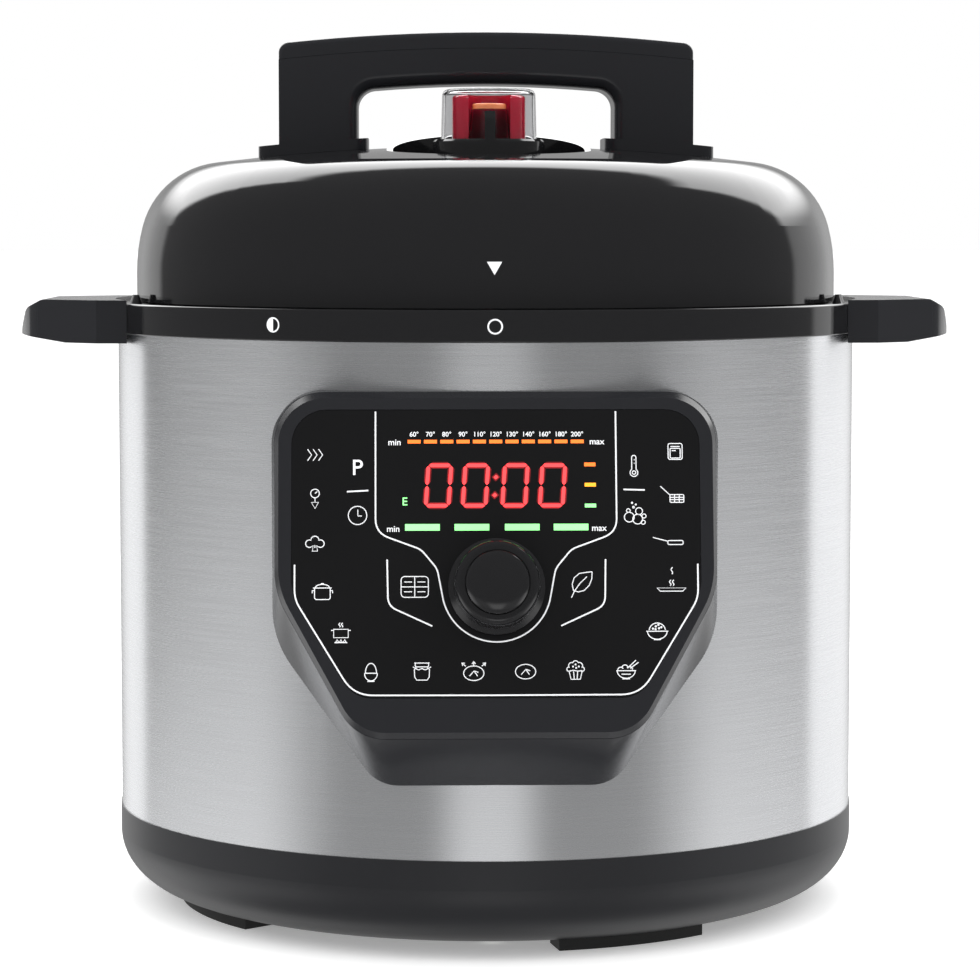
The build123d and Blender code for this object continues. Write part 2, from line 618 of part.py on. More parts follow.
# ---------------------------------------------------------------- mains inlet
with BuildPart() as inlet_housing:
    with BuildSketch(Plane.XZ.offset(-INLET_FACE_Y)):
        with Locations((0, INLET_Z)):
            Rectangle(INLET_WIDTH, INLET_HEIGHT)
    extrude(amount=INLET_DEPTH)
    with BuildSketch(Plane.XZ.offset(-INLET_FACE_Y)):
        with Locations((0, INLET_Z)):
            Rectangle(INLET_MOUTH_WIDTH, INLET_MOUTH_HEIGHT)
    extrude(amount=INLET_MOUTH_DEPTH, mode=Mode.SUBTRACT)
    chamfer(
        inlet_housing.edges()
        .filter_by(Axis.Y)
        .filter_by(lambda e: abs(e.length - INLET_MOUTH_DEPTH) < 0.01)
        .group_by(Axis.Z)[-1],
        3.5,
    )
    fillet(
        inlet_housing.edges().filter_by(Axis.Y).filter_by(lambda e: abs(e.length - INLET_DEPTH) < 0.01),
        2.0,
    )
keep(inlet_housing, "inlet_housing")

with BuildPart() as inlet_pins:
    pin_root_y = INLET_FACE_Y - INLET_MOUTH_DEPTH
    with BuildSketch(Plane.XZ.offset(-pin_root_y)):
        with Locations((-7.0, INLET_Z - 2.0), (7.0, INLET_Z - 2.0), (0, INLET_Z + 2.0)):
            Rectangle(2.0, 4.0)
    extrude(amount=-(INLET_MOUTH_DEPTH - PIN_MOUTH_GAP))
keep(inlet_pins, "inlet_pins")

with BuildPart() as mains_leads:
    lead_z = BOARD_Z + 12.0
    lead_y = INLET_FACE_Y - 16.6
    inlet_bottom = INLET_Z - INLET_HEIGHT / 2
    lead_end_y = BOARD_Y + BOARD_LENGTH / 2 - 8.0
    for x, end_x in ((-8.0, BOARD_X - 12.0), (0.0, BOARD_X), (8.0, BOARD_X + 12.0)):
        with BuildLine() as lead:
            FilletPolyline(
                (x, lead_y, inlet_bottom),
                (x, lead_y, lead_z),
                (x, lead_y - 22.0, lead_z),
                (end_x, 70.0, lead_z),
                (end_x, lead_end_y, lead_z),
                (end_x, lead_end_y, BOARD_Z + BOARD_THICKNESS),
                radius=4.0,
            )
        with BuildSketch(Plane(origin=lead.line @ 0, z_dir=lead.line % 0)):
            Circle(LEAD_RADIUS)
        sweep(path=lead.line)
keep(mains_leads, "mains_leads")


# ---------------------------------------------------------------- control panel
def panel_outline(corners, inset=0):
    """Sketches a six-sided outline round the dial's axis, drawn in by inset, within the sketch that is open."""
    (top_x, top, top_radius), (side_x, shoulder, side_radius), (low_x, low, low_radius) = corners
    top_x, side_x, low_x = top_x - inset, side_x - inset, low_x - inset / 2
    top, low = top - inset, low + inset
    radii = (top_radius, top_radius, side_radius, low_radius, low_radius, side_radius)
    with BuildLine() as sides:
        FilletPolyline(
            (-top_x, top),
            (top_x, top),
            (side_x, shoulder),
            (low_x, low),
            (-low_x, low),
            (-side_x, shoulder),
            radius=[radius - inset for radius in radii],
            close=True,
        )
    make_face(sides.edges())


with BuildPart() as outer_body:
    with BuildSketch(FACE_PLANE):
        panel_outline(PANEL_FACE)
    with BuildSketch(RIM_PLANE):
        panel_outline(PANEL_RIM)
    with BuildSketch(SEAT_PLANE):
        panel_outline(PANEL_SEAT)
    loft(ruled=True)
    with BuildSketch(SEAT_PLANE):
        panel_outline(PANEL_SEAT)
    extrude(amount=-PANEL_SKIRT)

with BuildPart() as inner_body:
    with BuildSketch(FACE_PLANE.offset(-PANEL_WALL)):
        panel_outline(PANEL_FACE, PANEL_WALL)
    with BuildSketch(SEAT_PLANE):
        panel_outline(PANEL_SEAT, PANEL_WALL)
    loft(ruled=True)
    with BuildSketch(SEAT_PLANE):
        panel_outline(PANEL_SEAT, PANEL_WALL)
    extrude(amount=-PANEL_SKIRT)

with BuildPart() as control_panel:
    add(outer_body.part)
    # parting groove behind the rim
    with BuildSketch(RIM_PLANE.offset(-GROOVE_WIDTH)):
        panel_outline(PANEL_RIM, -2.0)
        offset(amount=-2.0 - GROOVE_DEPTH, mode=Mode.SUBTRACT)
    extrude(amount=GROOVE_WIDTH, mode=Mode.SUBTRACT)
    add(inner_body.part, mode=Mode.SUBTRACT)
    with BuildSketch(Plane.XY):
        Circle(SHELL_RADIUS + SEAT_GAP)
    extrude(amount=COLLAR_TOP + 100, mode=Mode.SUBTRACT)
    # pocket for the printed front, the dial's bore and the display's window
    with BuildSketch(FACE_PLANE):
        panel_outline(FILM_OUTLINE)
    extrude(amount=-FILM_THICKNESS, mode=Mode.SUBTRACT)
    with BuildSketch(FACE_PLANE):
        Circle(DIAL_BORE_RADIUS)
        with Locations((0, DISPLAY_UP)):
            RectangleRounded(DISPLAY_WIDTH, DISPLAY_HEIGHT, DISPLAY_CORNER)
    extrude(amount=-2 * PANEL_WALL, mode=Mode.SUBTRACT)
keep(control_panel, "control_panel")

with BuildPart() as panel_film:
    with BuildSketch(FACE_PLANE.offset(-FILM_THICKNESS)):
        panel_outline(FILM_OUTLINE, FILM_GAP)
        Circle(DIAL_BORE_RADIUS, mode=Mode.SUBTRACT)
    extrude(amount=FILM_THICKNESS - FILM_DROP)
keep(panel_film, "panel_film")

# the board stands behind the panel's wall, and its display fills the window
with BuildPart() as control_board:
    with BuildSketch(FACE_PLANE.offset(-BOARD_SETBACK - BOARD_THICKNESS)):
        with Locations((0, CONTROL_UP)):
            RectangleRounded(CONTROL_WIDTH, CONTROL_HEIGHT, 3.0)
            with GridLocations(CONTROL_WIDTH - 2 * CONTROL_HOLE_INSET, CONTROL_HEIGHT - 2 * CONTROL_HOLE_INSET, 2, 2):
                Circle(1.6, mode=Mode.SUBTRACT)
    extrude(amount=BOARD_THICKNESS)
keep(control_board, "control_board")

with BuildPart() as display_module:
    with BuildSketch(FACE_PLANE.offset(-BOARD_SETBACK)):
        with Locations((0, DISPLAY_UP)):
            RectangleRounded(DISPLAY_WIDTH - 0.6, DISPLAY_HEIGHT - 0.6, DISPLAY_CORNER)
    extrude(amount=BOARD_SETBACK - FILM_THICKNESS - 0.3)
keep(display_module, "display_module")

with BuildPart() as board_standoffs:
    with BuildSketch(FACE_PLANE.offset(-BOARD_SETBACK)):
        with Locations((0, CONTROL_UP)):
            with GridLocations(CONTROL_WIDTH - 2 * CONTROL_HOLE_INSET, CONTROL_HEIGHT - 2 * CONTROL_HOLE_INSET, 2, 2):
                Circle(STANDOFF_RADIUS)
    extrude(amount=BOARD_SETBACK - PANEL_WALL)
keep(board_standoffs, "board_standoffs")

SLEEVE_RADIUS = DIAL_BORE_RADIUS - CLEARANCE
with BuildPart() as encoder:
    with BuildSketch(FACE_PLANE.offset(-BOARD_SETBACK)):
        RectangleRounded(ENCODER_SIZE, ENCODER_SIZE, 1.0)
    extrude(amount=ENCODER_HEIGHT)
    with BuildSketch(FACE_PLANE.offset(-BOARD_SETBACK + ENCODER_HEIGHT)):
        Circle(ENCODER_SHAFT_RADIUS)
    extrude(amount=ENCODER_SHAFT_HEIGHT)
keep(encoder, "encoder")

with BuildPart() as dial_ring:
    skirt_radius, skirt_height, lip_radius = DIAL_RADIUS, 3.0, 12.9
    body_radius = DIAL_RADIUS - 1.7
    sleeve_depth = PANEL_WALL + 0.5
    axis_plane = Plane(origin=FACE_PLANE.origin, x_dir=(1, 0, 0), z_dir=FACE_PLANE.y_dir * -1)
    with BuildSketch(axis_plane):
        with BuildLine():
            Polyline(
                (STEM_RADIUS + CLEARANCE, -sleeve_depth),
                (SLEEVE_RADIUS, -sleeve_depth),
                (SLEEVE_RADIUS, CLEARANCE),
                (skirt_radius, CLEARANCE),
                (skirt_radius, skirt_height),
                (body_radius, skirt_height + 1.4),
                (body_radius - 0.4, DIAL_HEIGHT - 3.0),
            )
            ThreePointArc(
                (body_radius - 0.4, DIAL_HEIGHT - 3.0),
                (body_radius - 1.0, DIAL_HEIGHT - 0.8),
                (lip_radius, DIAL_HEIGHT),
            )
            Polyline(
                (lip_radius, DIAL_HEIGHT),
                (DIAL_CAP_RADIUS + CLEARANCE, DIAL_HEIGHT),
                (DIAL_CAP_RADIUS + CLEARANCE, DIAL_HEIGHT - 6.0),
                (STEM_RADIUS + CLEARANCE, DIAL_HEIGHT - 6.0),
                (STEM_RADIUS + CLEARANCE, -sleeve_depth),
            )
        make_face()
    revolve(axis=Axis(FACE_PLANE.origin, FACE_PLANE.z_dir))
keep(dial_ring, "dial_ring")

with BuildPart() as dial_cap:
    cap_bottom = DIAL_HEIGHT - 6.0 + DIAL_PRESS + CLEARANCE
    stem_bottom = -BOARD_SETBACK + ENCODER_HEIGHT + ENCODER_SHAFT_HEIGHT + DIAL_PRESS + CLEARANCE
    with BuildSketch(axis_plane):
        with BuildLine():
            Polyline(
                (0, DIAL_HEIGHT + DIAL_CAP_RISE),
                (0, stem_bottom),
                (STEM_RADIUS, stem_bottom),
                (STEM_RADIUS, cap_bottom),
                (DIAL_CAP_RADIUS, cap_bottom),
                (DIAL_CAP_RADIUS, DIAL_HEIGHT + 0.8),
            )
            Spline(
                (DIAL_CAP_RADIUS, DIAL_HEIGHT + 0.8),
                (DIAL_CAP_RADIUS * 0.55, DIAL_HEIGHT + DIAL_CAP_RISE - 0.8),
                (0, DIAL_HEIGHT + DIAL_CAP_RISE),
                tangents=((-0.6, 1), (-1, 0)),
            )
        make_face()
    revolve(axis=Axis(FACE_PLANE.origin, FACE_PLANE.z_dir))
keep(dial_cap, "dial_cap")

with BuildPart() as ribbon_cable:
    ribbon_start = FACE_PLANE.from_local_coords((0, -12.0, -BOARD_SETBACK - BOARD_THICKNESS))
    ribbon_y = -(JACKET_RADIUS + JACKET_WALL + SHELL_RADIUS) / 2
    ribbon_board_y = BOARD_Y - BOARD_LENGTH / 2 + 4.0
    with BuildSketch(Plane.YZ.offset(RIBBON_X - RIBBON_WIDTH / 2)):
        with BuildLine() as ribbon_line:
            FilletPolyline(
                (ribbon_start.Y, ribbon_start.Z),
                (ribbon_y, ribbon_start.Z + 2.0),
                (ribbon_y, BOARD_Z + 12.0),
                (ribbon_board_y, BOARD_Z + 12.0),
                (ribbon_board_y, BOARD_Z + BOARD_THICKNESS),
                radius=3.0,
            )
        trace(ribbon_line.line, RIBBON_THICKNESS)
    extrude(amount=RIBBON_WIDTH)
    add(control_board.part, mode=Mode.SUBTRACT)
    add(power_board.part, mode=Mode.SUBTRACT)
keep(ribbon_cable, "ribbon_cable")


# ---------------------------------------------------------------- side handles
def side_handle(side):
    """One side handle with a hollow below for the fingers: side is 1 on the right and -1 on the left."""
    grip_end = COLLAR_RADIUS + GRIP_LENGTH
    corner_x = grip_end - GRIP_END_BULGE
    end_underside = GRIP_UNDERSIDE + GRIP_END_RISE
    with BuildPart() as grip:
        # seen from above, then cut to its outline seen from the front
        with BuildSketch(Plane.XY.offset(GRIP_UNDERSIDE)):
            with BuildLine():
                Polyline(
                    (side * corner_x, -GRIP_END_HALF_WIDTH),
                    (side * (COLLAR_RADIUS + 4.0), -GRIP_HALF_WIDTH),
                    (side * (COLLAR_RADIUS - 12.0), -GRIP_HALF_WIDTH),
                    (side * (COLLAR_RADIUS - 12.0), GRIP_HALF_WIDTH),
                    (side * (COLLAR_RADIUS + 4.0), GRIP_HALF_WIDTH),
                    (side * corner_x, GRIP_END_HALF_WIDTH),
                )
                ThreePointArc(
                    (side * corner_x, GRIP_END_HALF_WIDTH),
                    (side * grip_end, 0),
                    (side * corner_x, -GRIP_END_HALF_WIDTH),
                )
            outline = make_face()
            fillet(outline.vertices().filter_by(lambda v: abs(v.X) > corner_x - 1), GRIP_CORNER)
        extrude(amount=GRIP_TOP - GRIP_UNDERSIDE)
        with BuildSketch(Plane.XZ):
            with BuildLine():
                Polyline(
                    (0, GRIP_UNDERSIDE),
                    (side * (grip_end - 20.0), GRIP_UNDERSIDE),
                    (side * grip_end, end_underside),
                    (side * (grip_end - GRIP_END_SLOPE), GRIP_TOP - GRIP_END_ROUNDING / 2),
                    (side * (grip_end - GRIP_END_SLOPE - GRIP_END_ROUNDING), GRIP_TOP),
                    (0, GRIP_TOP),
                    close=True,
                )
            front = make_face()
            fillet(front.vertices().filter_by(lambda v: abs(v.X) > grip_end - 12 and v.Y > GRIP_TOP - 5), 4.0)
        extrude(amount=GRIP_HALF_WIDTH + 1, both=True, mode=Mode.INTERSECT)
        with BuildSketch(Plane.XY.offset(GRIP_UNDERSIDE)):
            with Locations((side * (COLLAR_RADIUS + 16.0), 0)):
                RectangleRounded(RECESS_LENGTH, 2 * RECESS_HALF_WIDTH, RECESS_CORNER)
        extrude(amount=GRIP_TOP - GRIP_UNDERSIDE - GRIP_WALL, mode=Mode.SUBTRACT)
        with BuildSketch(Plane.XY):
            Circle(COLLAR_RADIUS + SEAT_GAP)
        extrude(amount=COLLAR_TOP + 50, mode=Mode.SUBTRACT)
    return grip


handle_left = side_handle(-1)
keep(handle_left, "handle_left")
handle_right = side_handle(1)
keep(handle_right, "handle_right")


# ---------------------------------------------------------------- lid
def lid_body(grow):
    """The solid under the lid's outer surface, moved out along its normal by grow."""
    with BuildPart() as body:
        with BuildSketch(Plane.XZ):
            with BuildLine():
                start = (LID_RADIUS + grow, LID_SIDE_TOP)
                side_arc = CenterArc((SIDE_CENTRE_X, LID_SIDE_TOP), LID_SIDE_CURVE + grow, 0, LID_SIDE_SWEEP)
                shoulder_arc = CenterArc(
                    (SHOULDER_CENTRE_X, SHOULDER_CENTRE_Z),
                    SHOULDER_RADIUS + grow,
                    LID_SIDE_SWEEP,
                    90 - CROWN_SLOPE - LID_SIDE_SWEEP,
                )
                crown_arc = CenterArc((0, CROWN_CENTRE_Z), CROWN_RADIUS + grow, 90 - CROWN_SLOPE, CROWN_SLOPE)
                Polyline(crown_arc @ 1, (0, LID_BOTTOM), (LID_RADIUS + grow, LID_BOTTOM), start)
            make_face()
        revolve(axis=Axis.Z)
    return body.part


lid_outside = lid_body(0)
lid_inside = lid_body(-LID_WALL)
lid_clear = lid_body(0.05)
plate_skin = lid_body(FOOT_PLATE_THICKNESS)

LID_POST_RADIUS = 5.0
LID_POST_CIRCLE = 84.0
LID_POST_COUNT = 4
POCKET_FLOOR = 2.5
with BuildPart() as lid_cover:
    add(lid_outside)
    add(lid_inside, mode=Mode.SUBTRACT)
    # posts down to the inner lid
    post_bottom = pan_height(LID_POST_CIRCLE - LID_POST_RADIUS) + 0.05
    with BuildSketch(Plane.XY.offset(post_bottom)):
        with PolarLocations(LID_POST_CIRCLE, LID_POST_COUNT, start_angle=45):
            Circle(LID_POST_RADIUS)
    extrude(amount=crown_height(LID_POST_CIRCLE) - 1.5 - post_bottom)
    # round pocket for the valve
    with BuildSketch(Plane.XY.offset(VALVE_FLOOR - POCKET_FLOOR)):
        with Locations((0, VALVE_Y)):
            Circle(VALVE_POCKET_RADIUS + 1.5)
    extrude(amount=POCKET_FLOOR + 2.0)
    add(lid_outside, mode=Mode.INTERSECT)
    with BuildSketch(Plane.XY.offset(VALVE_FLOOR)):
        with Locations((0, VALVE_Y)):
            Circle(VALVE_POCKET_RADIUS)
    extrude(amount=30.0, mode=Mode.SUBTRACT)
    with BuildSketch(Plane.XY.offset(VALVE_FLOOR - 10)):
        with Locations((0, PIPE_Y)):
            Circle(VENT_PIPE_RADIUS + CLEARANCE)
        with Locations((0, FLOAT_Y)):
            Circle(FLOAT_STEM_RADIUS + CLEARANCE)
    extrude(amount=20.0, mode=Mode.SUBTRACT)
keep(lid_cover, "lid_cover")

with BuildPart() as inner_lid:
    with BuildSketch(Plane.XZ):
        with BuildLine():
            channel = SEAL_OUTER_RADIUS + CLEARANCE
            inside_radius = PAN_CROWN_RADIUS - PAN_WALL
            inside_shoulder = PAN_CROWN_Z - PAN_CROWN_RADIUS + sqrt(inside_radius**2 - PAN_SHOULDER_RADIUS**2)
            middle = PAN_SHOULDER_RADIUS / 2
            inside_middle = PAN_CROWN_Z - PAN_CROWN_RADIUS + sqrt(inside_radius**2 - middle**2)
            ThreePointArc((PAN_SHOULDER_RADIUS, PAN_SHOULDER_Z), (middle, pan_height(middle)), (0, PAN_CROWN_Z))
            Line((0, PAN_CROWN_Z), (0, PAN_CROWN_Z - PAN_WALL))
            ThreePointArc(
                (0, PAN_CROWN_Z - PAN_WALL), (middle, inside_middle), (PAN_SHOULDER_RADIUS, inside_shoulder)
            )
            Polyline(
                (PAN_SHOULDER_RADIUS, inside_shoulder),
                (PAN_SHOULDER_RADIUS, PAN_SHOULDER_Z - PAN_WALL),
                (channel, PAN_SHOULDER_Z - PAN_WALL),
                (channel, PAN_EDGE_Z),
                (PAN_RADIUS, PAN_EDGE_Z),
                (PAN_RADIUS, PAN_EDGE_TOP),
                (channel + PAN_WALL, PAN_EDGE_TOP),
                (channel + PAN_WALL, PAN_SHOULDER_Z),
                (PAN_SHOULDER_RADIUS, PAN_SHOULDER_Z),
            )
        make_face()
    revolve(axis=Axis.Z)
    with BuildSketch(Plane.XY.offset(PAN_EDGE_Z)):
        ring_sectors(PAN_RADIUS - 1.0, LID_TOOTH_RADIUS, TOOTH_ARC, TOOTH_COUNT, -90)
    extrude(amount=PAN_WALL)
    with BuildSketch(Plane.XY.offset(PAN_EDGE_Z)):
        with Locations((0, PIPE_Y)):
            Circle(VENT_PIPE_RADIUS + 0.05)
        with Locations((0, FLOAT_Y)):
            Circle(FLOAT_STEM_RADIUS + CLEARANCE)
        with PolarLocations(LID_POST_CIRCLE, LID_POST_COUNT, start_angle=45):
            Circle(1.65)
    extrude(amount=30.0, mode=Mode.SUBTRACT)
keep(inner_lid, "inner_lid")

POST_SCREW_RADIUS = 1.6
POST_SCREW_HEAD = 3.4
with BuildPart() as inner_lid_screws:
    head_reach = LID_POST_CIRCLE + POST_SCREW_HEAD
    pan_underside = PAN_CROWN_Z - PAN_CROWN_RADIUS + sqrt(inside_radius**2 - head_reach**2) - 0.05
    with BuildSketch(Plane.XY.offset(pan_underside - 2.0)):
        with PolarLocations(LID_POST_CIRCLE, LID_POST_COUNT, start_angle=45):
            Circle(POST_SCREW_HEAD)
    extrude(amount=2.0)
    with BuildSketch(Plane.XY.offset(pan_underside)):
        with PolarLocations(LID_POST_CIRCLE, LID_POST_COUNT, start_angle=45):
            Circle(POST_SCREW_RADIUS)
    extrude(amount=post_bottom - pan_underside)
keep(inner_lid_screws, "inner_lid_screws")

with BuildPart() as sealing_ring:
    with BuildSketch(Plane.XZ):
        seal_bottom = POT_RIM_TOP + CLEARANCE
        seal_lip = 2.2
        with BuildLine():
            Polyline(
                (SEAL_INNER_RADIUS + 3.0, SEAL_TOP),
                (SEAL_OUTER_RADIUS, SEAL_TOP),
                (SEAL_OUTER_RADIUS, seal_bottom),
                (SEAL_INNER_RADIUS, seal_bottom),
                (SEAL_INNER_RADIUS, seal_bottom + seal_lip),
                (SEAL_INNER_RADIUS + 3.0, seal_bottom + seal_lip + 1.0),
                close=True,
            )
        make_face()
    revolve(axis=Axis.Z)
    lip_edges = sealing_ring.edges().filter_by(GeomType.CIRCLE)
    fillet(lip_edges.filter_by(lambda e: abs(e.radius - SEAL_INNER_RADIUS) < 0.01), 0.6)
keep(sealing_ring, "sealing_ring")

with BuildPart() as seal_frame:
    frame_wire = 1.2
    frame_radius = SEAL_INNER_RADIUS + 3.0 - CLEARANCE - frame_wire
    with BuildSketch(Plane.XZ):
        with Locations((frame_radius, SEAL_TOP + CLEARANCE - frame_wire - 0.02)):
            Circle(frame_wire)
    revolve(axis=Axis.Z)
keep(seal_frame, "seal_frame")


# ---------------------------------------------------------------- valve head
with BuildPart() as steam_guard:
    with BuildSketch(Plane.XY.offset(VALVE_FLOOR)):
        with Locations((0, VALVE_Y)):
            Circle(VALVE_POCKET_RADIUS - 0.05)
            Circle(VALVE_POCKET_RADIUS - GUARD_WALL, mode=Mode.SUBTRACT)
    extrude(amount=20.0)
    guard_plane = Plane(
        origin=(0, VALVE_Y, VALVE_FLOOR + GUARD_MIDDLE),
        x_dir=(1, 0, 0),
        z_dir=(0, -sin(radians(GUARD_TILT)), cos(radians(GUARD_TILT))),
    )
    split(bisect_by=guard_plane, keep=Keep.BOTTOM)
keep(steam_guard, "steam_guard")

with BuildPart() as valve_hub:
    with BuildSketch(Plane.XY.offset(VALVE_FLOOR)):
        with Locations((0, VALVE_Y)):
            Circle(VALVE_HUB_RADIUS)
    extrude(amount=VALVE_RING_TOP - VALVE_FLOOR)
    with BuildSketch(Plane.XY.offset(VALVE_FLOOR)):
        with Locations((0, PIPE_Y)):
            Circle(VENT_PIPE_RADIUS + 0.05)
        with Locations((0, FLOAT_Y)):
            Circle(FLOAT_STEM_RADIUS + CLEARANCE)
    extrude(amount=30.0, mode=Mode.SUBTRACT)
keep(valve_hub, "valve_hub")

with BuildPart() as steam_pipe:
    pipe_bottom = pan_height(abs(PIPE_Y)) - PAN_WALL - 5.0
    with BuildSketch(Plane.XY.offset(pipe_bottom)):
        with Locations((0, PIPE_Y)):
            Circle(VENT_PIPE_RADIUS)
            Circle(VENT_PIPE_RADIUS - 1.2, mode=Mode.SUBTRACT)
    extrude(amount=VALVE_RING_TOP + 4.0 - pipe_bottom)
keep(steam_pipe, "steam_pipe")

NUT_WIDTH = 11.0
with BuildPart() as pipe_nut:
    with BuildSketch(Plane.XY.offset(pipe_bottom + 0.5)):
        with Locations((0, PIPE_Y)):
            RegularPolygon(NUT_WIDTH / 2, 6, major_radius=False)
            Circle(VENT_PIPE_RADIUS + 0.05, mode=Mode.SUBTRACT)
    extrude(amount=3.0)
keep(pipe_nut, "pipe_nut")

SHIELD_RADIUS, SHIELD_HEIGHT, SHIELD_WALL = 10.5, 10.0, 0.8
with BuildPart() as steam_shield:
    shield_top = pipe_bottom
    with BuildSketch(Plane.XY.offset(shield_top - SHIELD_HEIGHT)):
        with Locations((0, PIPE_Y)):
            Circle(SHIELD_RADIUS)
    extrude(amount=SHIELD_HEIGHT)
    fillet(steam_shield.edges().group_by(Axis.Z)[0], 3.5)
    offset(amount=-SHIELD_WALL, openings=steam_shield.faces().sort_by(Axis.Z)[-1])
    # slots round the wall, and a bridge that hangs the shield from the pipe
    for number in range(4):
        slot_plane = Plane(
            origin=(0, PIPE_Y, shield_top - SHIELD_HEIGHT / 2),
            x_dir=(cos(radians(45 * number)), sin(radians(45 * number)), 0),
            z_dir=(-sin(radians(45 * number)), cos(radians(45 * number)), 0),
        )
        with BuildSketch(slot_plane):
            SlotOverall(4.5, 1.6, rotation=90)
        extrude(amount=SHIELD_RADIUS + 2, both=True, mode=Mode.SUBTRACT)
    with BuildSketch(Plane.XY.offset(shield_top - 1.2)):
        with Locations((0, PIPE_Y)):
            Rectangle(2 * SHIELD_RADIUS - SHIELD_WALL, 4.0)
            Circle(VENT_PIPE_RADIUS - 1.2, mode=Mode.SUBTRACT)
    extrude(amount=1.2)
keep(steam_shield, "steam_shield")

with BuildPart() as selector_ring:
    with BuildSketch(Plane.XY.offset(VALVE_FLOOR + CLEARANCE)):
        with Locations((0, VALVE_Y)):
            Circle(VALVE_RING_RADIUS)
            Circle(VALVE_HUB_RADIUS + CLEARANCE, mode=Mode.SUBTRACT)
    extrude(amount=VALVE_RING_HEIGHT)
    ring_top = selector_ring.faces().sort_by(Axis.Z)[-1]
    chamfer(ring_top.edges().sort_by(lambda e: e.length)[-1], 0.8)
    # pointer at the front rim
    pointer_front = VALVE_Y - VALVE_RING_RADIUS
    with BuildSketch(Plane.YZ.offset(-POINTER_WIDTH / 2)):
        with BuildLine():
            Polyline(
                (pointer_front, VALVE_FLOOR + CLEARANCE + 1.0),
                (pointer_front, VALVE_RING_TOP + POINTER_HEIGHT - POINTER_SLOPE_HEIGHT),
                (pointer_front + POINTER_SLOPE_DEPTH, VALVE_RING_TOP + POINTER_HEIGHT),
                (pointer_front + POINTER_DEPTH - 0.2, VALVE_RING_TOP + POINTER_HEIGHT),
                (pointer_front + POINTER_DEPTH - 0.2, VALVE_FLOOR + CLEARANCE + 1.0),
                close=True,
            )
        make_face()
    extrude(amount=POINTER_WIDTH)
    with BuildSketch(Plane.XY.offset(VALVE_RING_TOP)):
        with Locations((0, VALVE_Y)):
            Circle(TOWER_RADIUS + 0.02)
    extrude(amount=TOWER_HEIGHT, mode=Mode.SUBTRACT)
keep(selector_ring, "selector_ring")

with BuildPart() as valve_cover:
    with BuildSketch(Plane.XY.offset(VALVE_RING_TOP)):
        with Locations((0, VALVE_Y)):
            Circle(TOWER_RADIUS)
    extrude(amount=TOWER_HEIGHT, taper=1.5)
    fillet(valve_cover.edges().group_by(Axis.Z)[-1], 2.5)
    offset(amount=-TOWER_WALL, openings=valve_cover.faces().sort_by(Axis.Z)[0])
keep(valve_cover, "valve_cover")

with BuildPart() as valve_weight:
    with BuildSketch(Plane.XY.offset(VALVE_RING_TOP)):
        with Locations((0, VALVE_Y)):
            Circle(WEIGHT_RADIUS)
    extrude(amount=WEIGHT_HEIGHT)
    fillet(valve_weight.edges().group_by(Axis.Z)[-1], 1.5)
    with BuildSketch(Plane.XY.offset(VALVE_RING_TOP)):
        with Locations((0, FLOAT_Y)):
            Circle(FLOAT_TUBE_RADIUS + CLEARANCE)
    extrude(amount=WEIGHT_HEIGHT, mode=Mode.SUBTRACT)
    with BuildSketch(Plane.XY.offset(VALVE_RING_TOP)):
        with Locations((0, PIPE_Y)):
            Circle(VENT_PIPE_RADIUS + 0.1)
    extrude(amount=5.0, mode=Mode.SUBTRACT)
keep(valve_weight, "valve_weight")

with BuildPart() as float_tube:
    with BuildSketch(Plane.XY.offset(VALVE_RING_TOP)):
        with Locations((0, FLOAT_Y)):
            Circle(FLOAT_TUBE_RADIUS)
    with BuildSketch(Plane.XY.offset(VALVE_RING_TOP + FLOAT_TUBE_HEIGHT)):
        with Locations((0, FLOAT_Y)):
            Circle(FLOAT_TUBE_TOP_RADIUS)
    loft()
    with BuildSketch(Plane.XY.offset(VALVE_RING_TOP)):
        with Locations((0, FLOAT_Y)):
            Circle(FLOAT_TUBE_RADIUS - FLOAT_TUBE_WALL)
    with BuildSketch(Plane.XY.offset(VALVE_RING_TOP + FLOAT_TUBE_HEIGHT)):
        with Locations((0, FLOAT_Y)):
            Circle(FLOAT_TUBE_TOP_RADIUS - FLOAT_TUBE_WALL)
    loft(mode=Mode.SUBTRACT)
keep(float_tube, "float_tube")

FLOAT_FLANGE_RADIUS, FLOAT_FLANGE_THICKNESS = 4.2, 1.2
with BuildPart() as float_pin:
    pan_under_float = pan_height(abs(FLOAT_Y) + FLOAT_FLANGE_RADIUS) - PAN_WALL
    flange_top = pan_under_float - FLOAT_TRAVEL - 1.2
    with BuildSketch(Plane.XY.offset(flange_top - FLOAT_FLANGE_THICKNESS)):
        with Locations((0, FLOAT_Y)):
            Circle(FLOAT_FLANGE_RADIUS)
    extrude(amount=FLOAT_FLANGE_THICKNESS)
    with BuildSketch(Plane.XY.offset(flange_top)):
        with Locations((0, FLOAT_Y)):
            Circle(FLOAT_STEM_RADIUS)
    extrude(amount=FLOAT_CAP_BOTTOM - flange_top)
keep(float_pin, "float_pin")

with BuildPart() as float_cap:
    with BuildSketch(Plane.XY.offset(FLOAT_CAP_BOTTOM)):
        with Locations((0, FLOAT_Y)):
            Circle(FLOAT_CAP_RADIUS)
    extrude(amount=FLOAT_CAP_HEIGHT)
    fillet(float_cap.edges().group_by(Axis.Z)[-1], 0.8)
keep(float_cap, "float_cap")

with BuildPart() as float_seal:
    with BuildSketch(Plane.XY.offset(flange_top)):
        with Locations((0, FLOAT_Y)):
            Circle(FLOAT_FLANGE_RADIUS - 0.4)
            Circle(FLOAT_STEM_RADIUS, mode=Mode.SUBTRACT)
    extrude(amount=0.8)
keep(float_seal, "float_seal")


